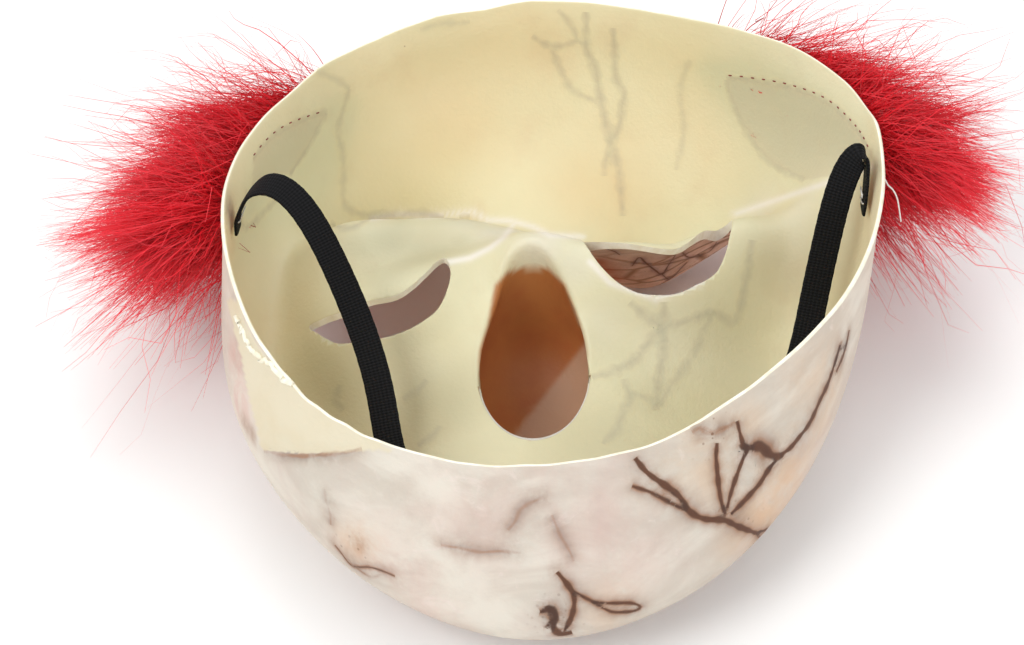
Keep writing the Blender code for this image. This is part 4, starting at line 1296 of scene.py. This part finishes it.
def tube(path, radius, sides=8, taper=0.0):
    """Points and faces of a round tube along a path."""
    path = np.asarray(path, float)
    run = np.gradient(path, axis=0)
    run /= np.linalg.norm(run, axis=1)[:, None] + 1e-12
    helper = np.array((0.31, 0.2, 0.93))
    points, faces = [], []
    for i, (spot, ahead) in enumerate(zip(path, run)):
        first = np.cross(ahead, helper)
        first /= np.linalg.norm(first)
        second = np.cross(ahead, first)
        wide = radius * (1 - taper * i / (len(path) - 1))
        for k in range(sides):
            turn = 2 * math.pi * k / sides
            points.append(spot + (first * math.cos(turn) + second * math.sin(turn)) * wide)
    for i in range(len(path) - 1):
        for k in range(sides):
            m = (k + 1) % sides
            faces.append((i * sides + k, i * sides + m, (i + 1) * sides + m,
                          (i + 1) * sides + k))
    faces.append(tuple(range(sides))[::-1])
    faces.append(tuple((len(path) - 1) * sides + k for k in range(sides)))
    return points, faces


def join(name, shapes, material_used):
    points, faces = [], []
    for more, these in shapes:
        first = len(points)
        points.extend(more)
        faces.extend(tuple(first + v for v in face) for face in these)
    return new_piece(name, np.array(points), faces, [material_used])


TAIL_START = (0.1005, 0.004, 0.069)
TAIL_LINE = ((879, 174), (884, 178), (888, 185), (893, 190), (897, 198), (899, 208), (901, 222))


def strap_fixings():
    """A wire staple through each end of the elastic, and the loose thread at the right."""
    staples, threads = [], []
    for index, ahead in ((8, 1), (len(strap_centre) - 9, -1)):
        middle = strap_centre[index]
        across = strap_across[index]
        spot, out, _face, _far = surface.find_nearest(Vector(middle))
        toward = np.array(out)
        if np.dot(toward, middle - np.array(spot)) < 0:
            toward = -toward
        top = middle + toward * (STRAP_THICKNESS / 2 + 0.0003)
        run = strap_centre[index + ahead * 5] - strap_centre[index]
        run /= np.linalg.norm(run)
        line = []
        for share in np.linspace(-1, 1, 13):
            dip = 0.0011 * max(abs(share) - 0.8, 0) / 0.2
            line.append(top + across * share * 0.0026 - toward * dip)
        staples.append(tube(line, 0.00032))
        for turn in range(7):
            share = -0.7 + 1.4 * turn / 6
            base = top + across * share * 0.0034 + run * 0.0016
            path = [base + run * (0.0011 * math.sin(t * math.pi)) + across * 0.0006 * t
                    + toward * 0.0002 for t in np.linspace(0, 1, 6)]
            threads.append(tube(path, 0.00016, 6))
    join("strap_staples", staples, STEEL)
    depth = (np.array(TAIL_START) - eye) @ back
    tail = []
    for u, v in TAIL_LINE:
        ray = sight(u, v)
        tail.append(eye + ray * (depth / (ray @ back)))
    if len(tail) > 3:
        fine = through_knots(np.array(tail), np.linspace(0, 1, 40))
        threads.append(tube(fine, 0.00022, 6))
    join("strap_threads", threads, THREAD)


strap_fixings()


torn_edge()


def seam_stitches():
    """Short red stitches along the upper seam of each hair patch."""
    shapes = []
    for line in (((726, 75), (747, 77), (788, 84), (827, 99), (857, 127), (870, 150)),
                 ((252, 157), (264, 142), (276, 131), (294, 121), (326, 110))):
        for run in run_on_surface(line, 0, 1.0):
            for i in range(1, len(run) - 2, 4):
                path = []
                for share in np.linspace(0, 1, 5):
                    spot, out, _face, _far = surface.find_nearest(
                        Vector(run[i] * (1 - share) + run[i + 1] * share))
                    path.append(np.array(spot) + np.array(out)
                                * 0.00018 * math.sin(math.pi * share))
                shapes.append(tube(path, 0.0002, 6))
    join("seam_stitches", shapes, STITCH)


seam_stitches()


# Hair


HAIR_STEPS = 7
STRANDS_EACH = 12000
LEAST_OUTWARD = 0.30
HAIR_RISE = 0.06
HAIR_TOP_LEFT = 0.100
HAIR_TOP_RIGHT = 0.086
HAIR_FREE = np.array((0.010, 0.008, 0.004))
HAIR_EASE = np.array((0.006, 0.005, 0.004))


def kept_within(path):
    """Bends the longest strands so that they stay near the CAD box."""
    low_soft = np.array(cad_low) - SHIFT - HAIR_FREE
    high_soft = np.array(cad_high) - SHIFT + HAIR_FREE
    over = np.maximum(path - high_soft, 0)
    under = np.maximum(low_soft - path, 0)
    path = path - over + HAIR_EASE * np.tanh(over / HAIR_EASE / 3)
    path = path + under - HAIR_EASE * np.tanh(under / HAIR_EASE / 3)
    path[..., 2] = np.maximum(path[..., 2], 0.0015)
    return path


def outside_of_mask(points):
    """Which points lie on the outer side of the latex nearest to them."""
    found = np.array([ring_finder.find(Vector(p))[1] for p in points])
    away = points - fine_net.reshape(-1, 3)[found]
    return (away * fine_out.reshape(-1, 3)[found]).sum(1) > 0


def make_hair(name, pad, seed, strands, reach, spread, droop):
    """Ribbons of fibre gathered into locks that leave the leaf-shaped patch."""
    random = np.random.default_rng(seed)
    way = pad["way"]
    roots, outs = [], []
    for i in range(41):
        for k in range(15):
            point, out = pad_place(pad, net, 0.03 + 0.94 * i / 40, k / 14)
            roots.append(point)
            outs.append(out)
    roots, outs = np.array(roots).reshape(41, 15, 3), np.array(outs).reshape(41, 15, 3)

    def at(along, down, table):
        a, b = np.clip(along * 40, 0, 39.999), np.clip(down * 14, 0, 13.999)
        i, k = a.astype(int), b.astype(int)
        s, t = (a - i)[:, None], (b - k)[:, None]
        return ((table[i, k] * (1 - t) + table[i, k + 1] * t) * (1 - s)
                + (table[i + 1, k] * (1 - t) + table[i + 1, k + 1] * t) * s)

    locks = 90
    lock_along, lock_down = random.random(locks), random.random(locks)
    lock_root = at(lock_along, lock_down, roots)
    lock_out = at(lock_along, lock_down, outs)
    fan = np.stack([np.full(locks, way * 1.1), spread[0] + spread[1] * (lock_along - 0.45),
                    0.35 * (0.30 - lock_down)], 1)
    lock_way = 0.35 * lock_out + fan + random.normal(0, 0.24, (locks, 3))
    lock_way[:, 1] = np.minimum(lock_way[:, 1], HAIR_RISE)
    lock_way /= np.linalg.norm(lock_way, axis=1)[:, None]
    lock_long = reach * random.uniform(0.6, 1.15, locks)
    bend = random.normal(0, 0.35, (locks, 3))

    along, down = random.random(strands), random.random(strands)
    root = at(along, down, roots) + at(along, down, outs) * 0.0012
    scores = (np.abs(along[:, None] - lock_along) * 1.5
              + np.abs(down[:, None] - lock_down) * 0.6 + random.random((strands, locks)) * 0.25)
    lock = scores.argmin(1)
    stray = random.random(strands)
    length = lock_long[lock] * random.uniform(0.45, 1.05, strands)
    length = np.where(stray > 0.93, length * random.uniform(1.05, 1.6, strands), length)
    heading = lock_way[lock] + random.normal(0, 1, (strands, 3)) * (
        0.10 + 0.42 * (stray > 0.80) + 0.25 * (stray > 0.93))[:, None]
    heading[:, 1] = np.minimum(heading[:, 1], HAIR_RISE + 0.15 * (stray > 0.93))
    radial = root * (1, 0.3, 0)
    radial /= np.linalg.norm(radial, axis=1)[:, None]
    away = (heading * radial).sum(1)
    heading = heading + radial * np.maximum(LEAST_OUTWARD - away, 0)[:, None] * 1.6
    heading /= np.linalg.norm(heading, axis=1)[:, None]
    gather = np.where(stray > 0.80, 0.12, 0.62)[:, None] * random.uniform(0.5, 1, (strands, 1))
    curl_a, curl_b = random.normal(0, 1, (strands, 3)), random.normal(0, 1, (strands, 3))
    phase = random.uniform(0, 6.28, (strands, 1))
    turns = random.uniform(3.0, 9.0, (strands, 1))
    frizz = random.uniform(0.0004, 0.0016, (strands, 1)) * (1 + 1.4 * (stray > 0.85))[:, None]
    path = []
    for i in range(HAIR_STEPS + 1):
        t = i / HAIR_STEPS
        gone = length[:, None] * t
        straight = root + heading * gone
        tip = lock_root[lock] + lock_way[lock] * gone + bend[lock] * gone * t * 0.5
        pulled = straight * (1 - gather * t ** 0.7) + tip * gather * t ** 0.7
        pulled = pulled + (curl_a * np.sin(turns * t + phase) + curl_b
                           * np.cos(turns * 1.3 * t + phase)) * frizz * t ** 0.5
        pulled[:, 2] -= droop * t * t * length
        path.append(pulled)
    path = np.array(path).transpose(1, 0, 2)
    path[..., 2] = np.maximum(path[..., 2], 0.0015)
    path = kept_within(path)
    clear = np.ones(strands, bool)
    for i in range(2, HAIR_STEPS + 1, 2):
        clear &= outside_of_mask(path[:, i])
    top = HAIR_TOP_LEFT if way < 0 else HAIR_TOP_RIGHT
    clear &= path[..., 1].max(1) < top
    path, lock, length = path[clear], lock[clear], length[clear]
    strands = len(path)
    run = np.gradient(path, axis=1)
    side = np.cross(run, random.normal(0, 1, (strands, 1, 3)))
    side /= np.linalg.norm(side, axis=2)[..., None] + 1e-12
    t = np.linspace(0, 1, HAIR_STEPS + 1)
    wide = (0.00013 * (1 - 0.75 * t ** 2))[None, :, None]
    wide = wide * random.uniform(0.7, 1.3, (strands, 1, 1))
    points = np.stack([path - side * wide, path + side * wide], 2).reshape(-1, 3)
    first = (np.arange(strands)[:, None] * (HAIR_STEPS + 1) + np.arange(HAIR_STEPS)) * 2
    quads = np.stack([first, first + 1, first + 3, first + 2], -1).reshape(-1, 4)
    made = new_piece(name, points, quads, [HAIR])
    tone = np.clip(random.normal(0.5, 0.3, strands)
                   + random.normal(0, 0.25, locks)[lock], 0, 1)
    add_scalar(made, "tone", np.repeat(tone, (HAIR_STEPS + 1) * 2))
    shade = (t[None] * (length / reach)[:, None]).reshape(-1)
    add_scalar(made, "tip", np.repeat(shade, 2))
    return made


# Name, patch, first seed, reach of the strands, and their lean and spread to the forehead
HAIR_SIDES = (("hair_left", PAD_LEFT, 11, 0.050, (-0.30, 0.30)),
              ("hair_right", PAD_RIGHT, 31, 0.044, (-0.62, 0.30)))
HAIR_DROOP = 0.10
for side_name, pad, seed, reach, spread in HAIR_SIDES:
    for number in range(2):
        make_hair(f"{side_name}_{number}", pad, seed + number, STRANDS_EACH,
                               reach, spread, HAIR_DROOP)


def hair_backing(name, pad):
    """The stitched felt patch under the fibre, lying on the outside of the temple."""
    points, faces = [], []
    columns, rows = 48, 12
    for i in range(columns + 1):
        for k in range(rows + 1):
            point, out = pad_place(pad, net, i / columns, k / rows)
            edge = min(i, columns - i, 4) / 4 * min(k, rows - k, 2) / 2
            lift = LATEX_WALL / 2 + 0.0005 + 0.0011 * edge ** 0.5
            points.append(point + out * lift)
    for i in range(columns):
        for k in range(rows):
            a = i * (rows + 1) + k
            faces.append((a, a + 1, a + rows + 2, a + rows + 1))
    if pad["way"] > 0:
        faces = [f[::-1] for f in faces]
    return new_piece(name, np.array(points), faces, [STITCH])


hair_backing("patch_left", PAD_LEFT)
hair_backing("patch_right", PAD_RIGHT)

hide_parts("mask_shell")
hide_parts("elastic_strap")
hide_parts("hair_tuft_left")
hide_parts("hair_tuft_right")


# Floor, light and camera

FLOOR_HALF = 3.0
WORLD_LIGHT = 0.74
LIGHT_AIM = (0, 0, 0.03)
# Name, place, size, power and colour
LIGHTS = (("key", (-0.9, -0.7, 1.5), 1.0, 14.0, (1.0, 0.985, 0.96)),
          ("fill", (1.1, -0.9, 1.1), 1.2, 6.0, (0.98, 0.99, 1.0)),
          ("top", (0.1, 0.8, 1.4), 1.0, 6.0, (1, 1, 1)))
SENSOR_WIDTH = 36.0

floor_mesh = bpy.data.meshes.new("floor")
floor_corners = [(x * FLOOR_HALF, y * FLOOR_HALF, 0)
                 for x, y in ((-1, -1), (1, -1), (1, 1), (-1, 1))]
floor_mesh.from_pydata(floor_corners, [], [(0, 1, 2, 3)])
floor = bpy.data.objects.new("floor", floor_mesh)
bpy.context.scene.collection.objects.link(floor)
floor_mesh.materials.append(plain_material("floor_pale", (0.93, 0.93, 0.93),
                                           (0.91, 0.91, 0.91), 3, 0.9))

world = bpy.data.worlds.new("studio")
world.use_nodes = True
world.node_tree.nodes["Background"].inputs["Color"].default_value = (1.0, 1.0, 1.0, 1.0)
world.node_tree.nodes["Background"].inputs["Strength"].default_value = WORLD_LIGHT
bpy.context.scene.world = world
bpy.context.scene.view_settings.view_transform = "Standard"


def area_light(name, spot, size, power, colour):
    """A soft disk light aimed at the mask."""
    data = bpy.data.lights.new(name, "AREA")
    data.shape = "DISK"
    data.size = size
    data.energy = power
    data.color = colour
    made = bpy.data.objects.new(name, data)
    made.location = spot
    made.rotation_mode = "QUATERNION"
    made.rotation_quaternion = (Vector(LIGHT_AIM) - Vector(spot)).to_track_quat("-Z", "Y")
    bpy.context.scene.collection.objects.link(made)


for light in LIGHTS:
    area_light(*light)

camera_data = bpy.data.cameras.new("camera")
camera = bpy.data.objects.new("camera", camera_data)
bpy.context.scene.collection.objects.link(camera)
camera_data.sensor_width = SENSOR_WIDTH
camera_data.lens = SENSOR_WIDTH * FOCAL_PIXELS / IMAGE_WIDTH
camera_data.clip_start = 0.01
camera_data.clip_end = 20.0
turned = Matrix((right, above, back)).transposed()
camera.matrix_world = Matrix.Translation(Vector(eye + SHIFT)) @ turned.to_4x4()
bpy.context.scene.camera = camera

bpy.context.view_layer.update()
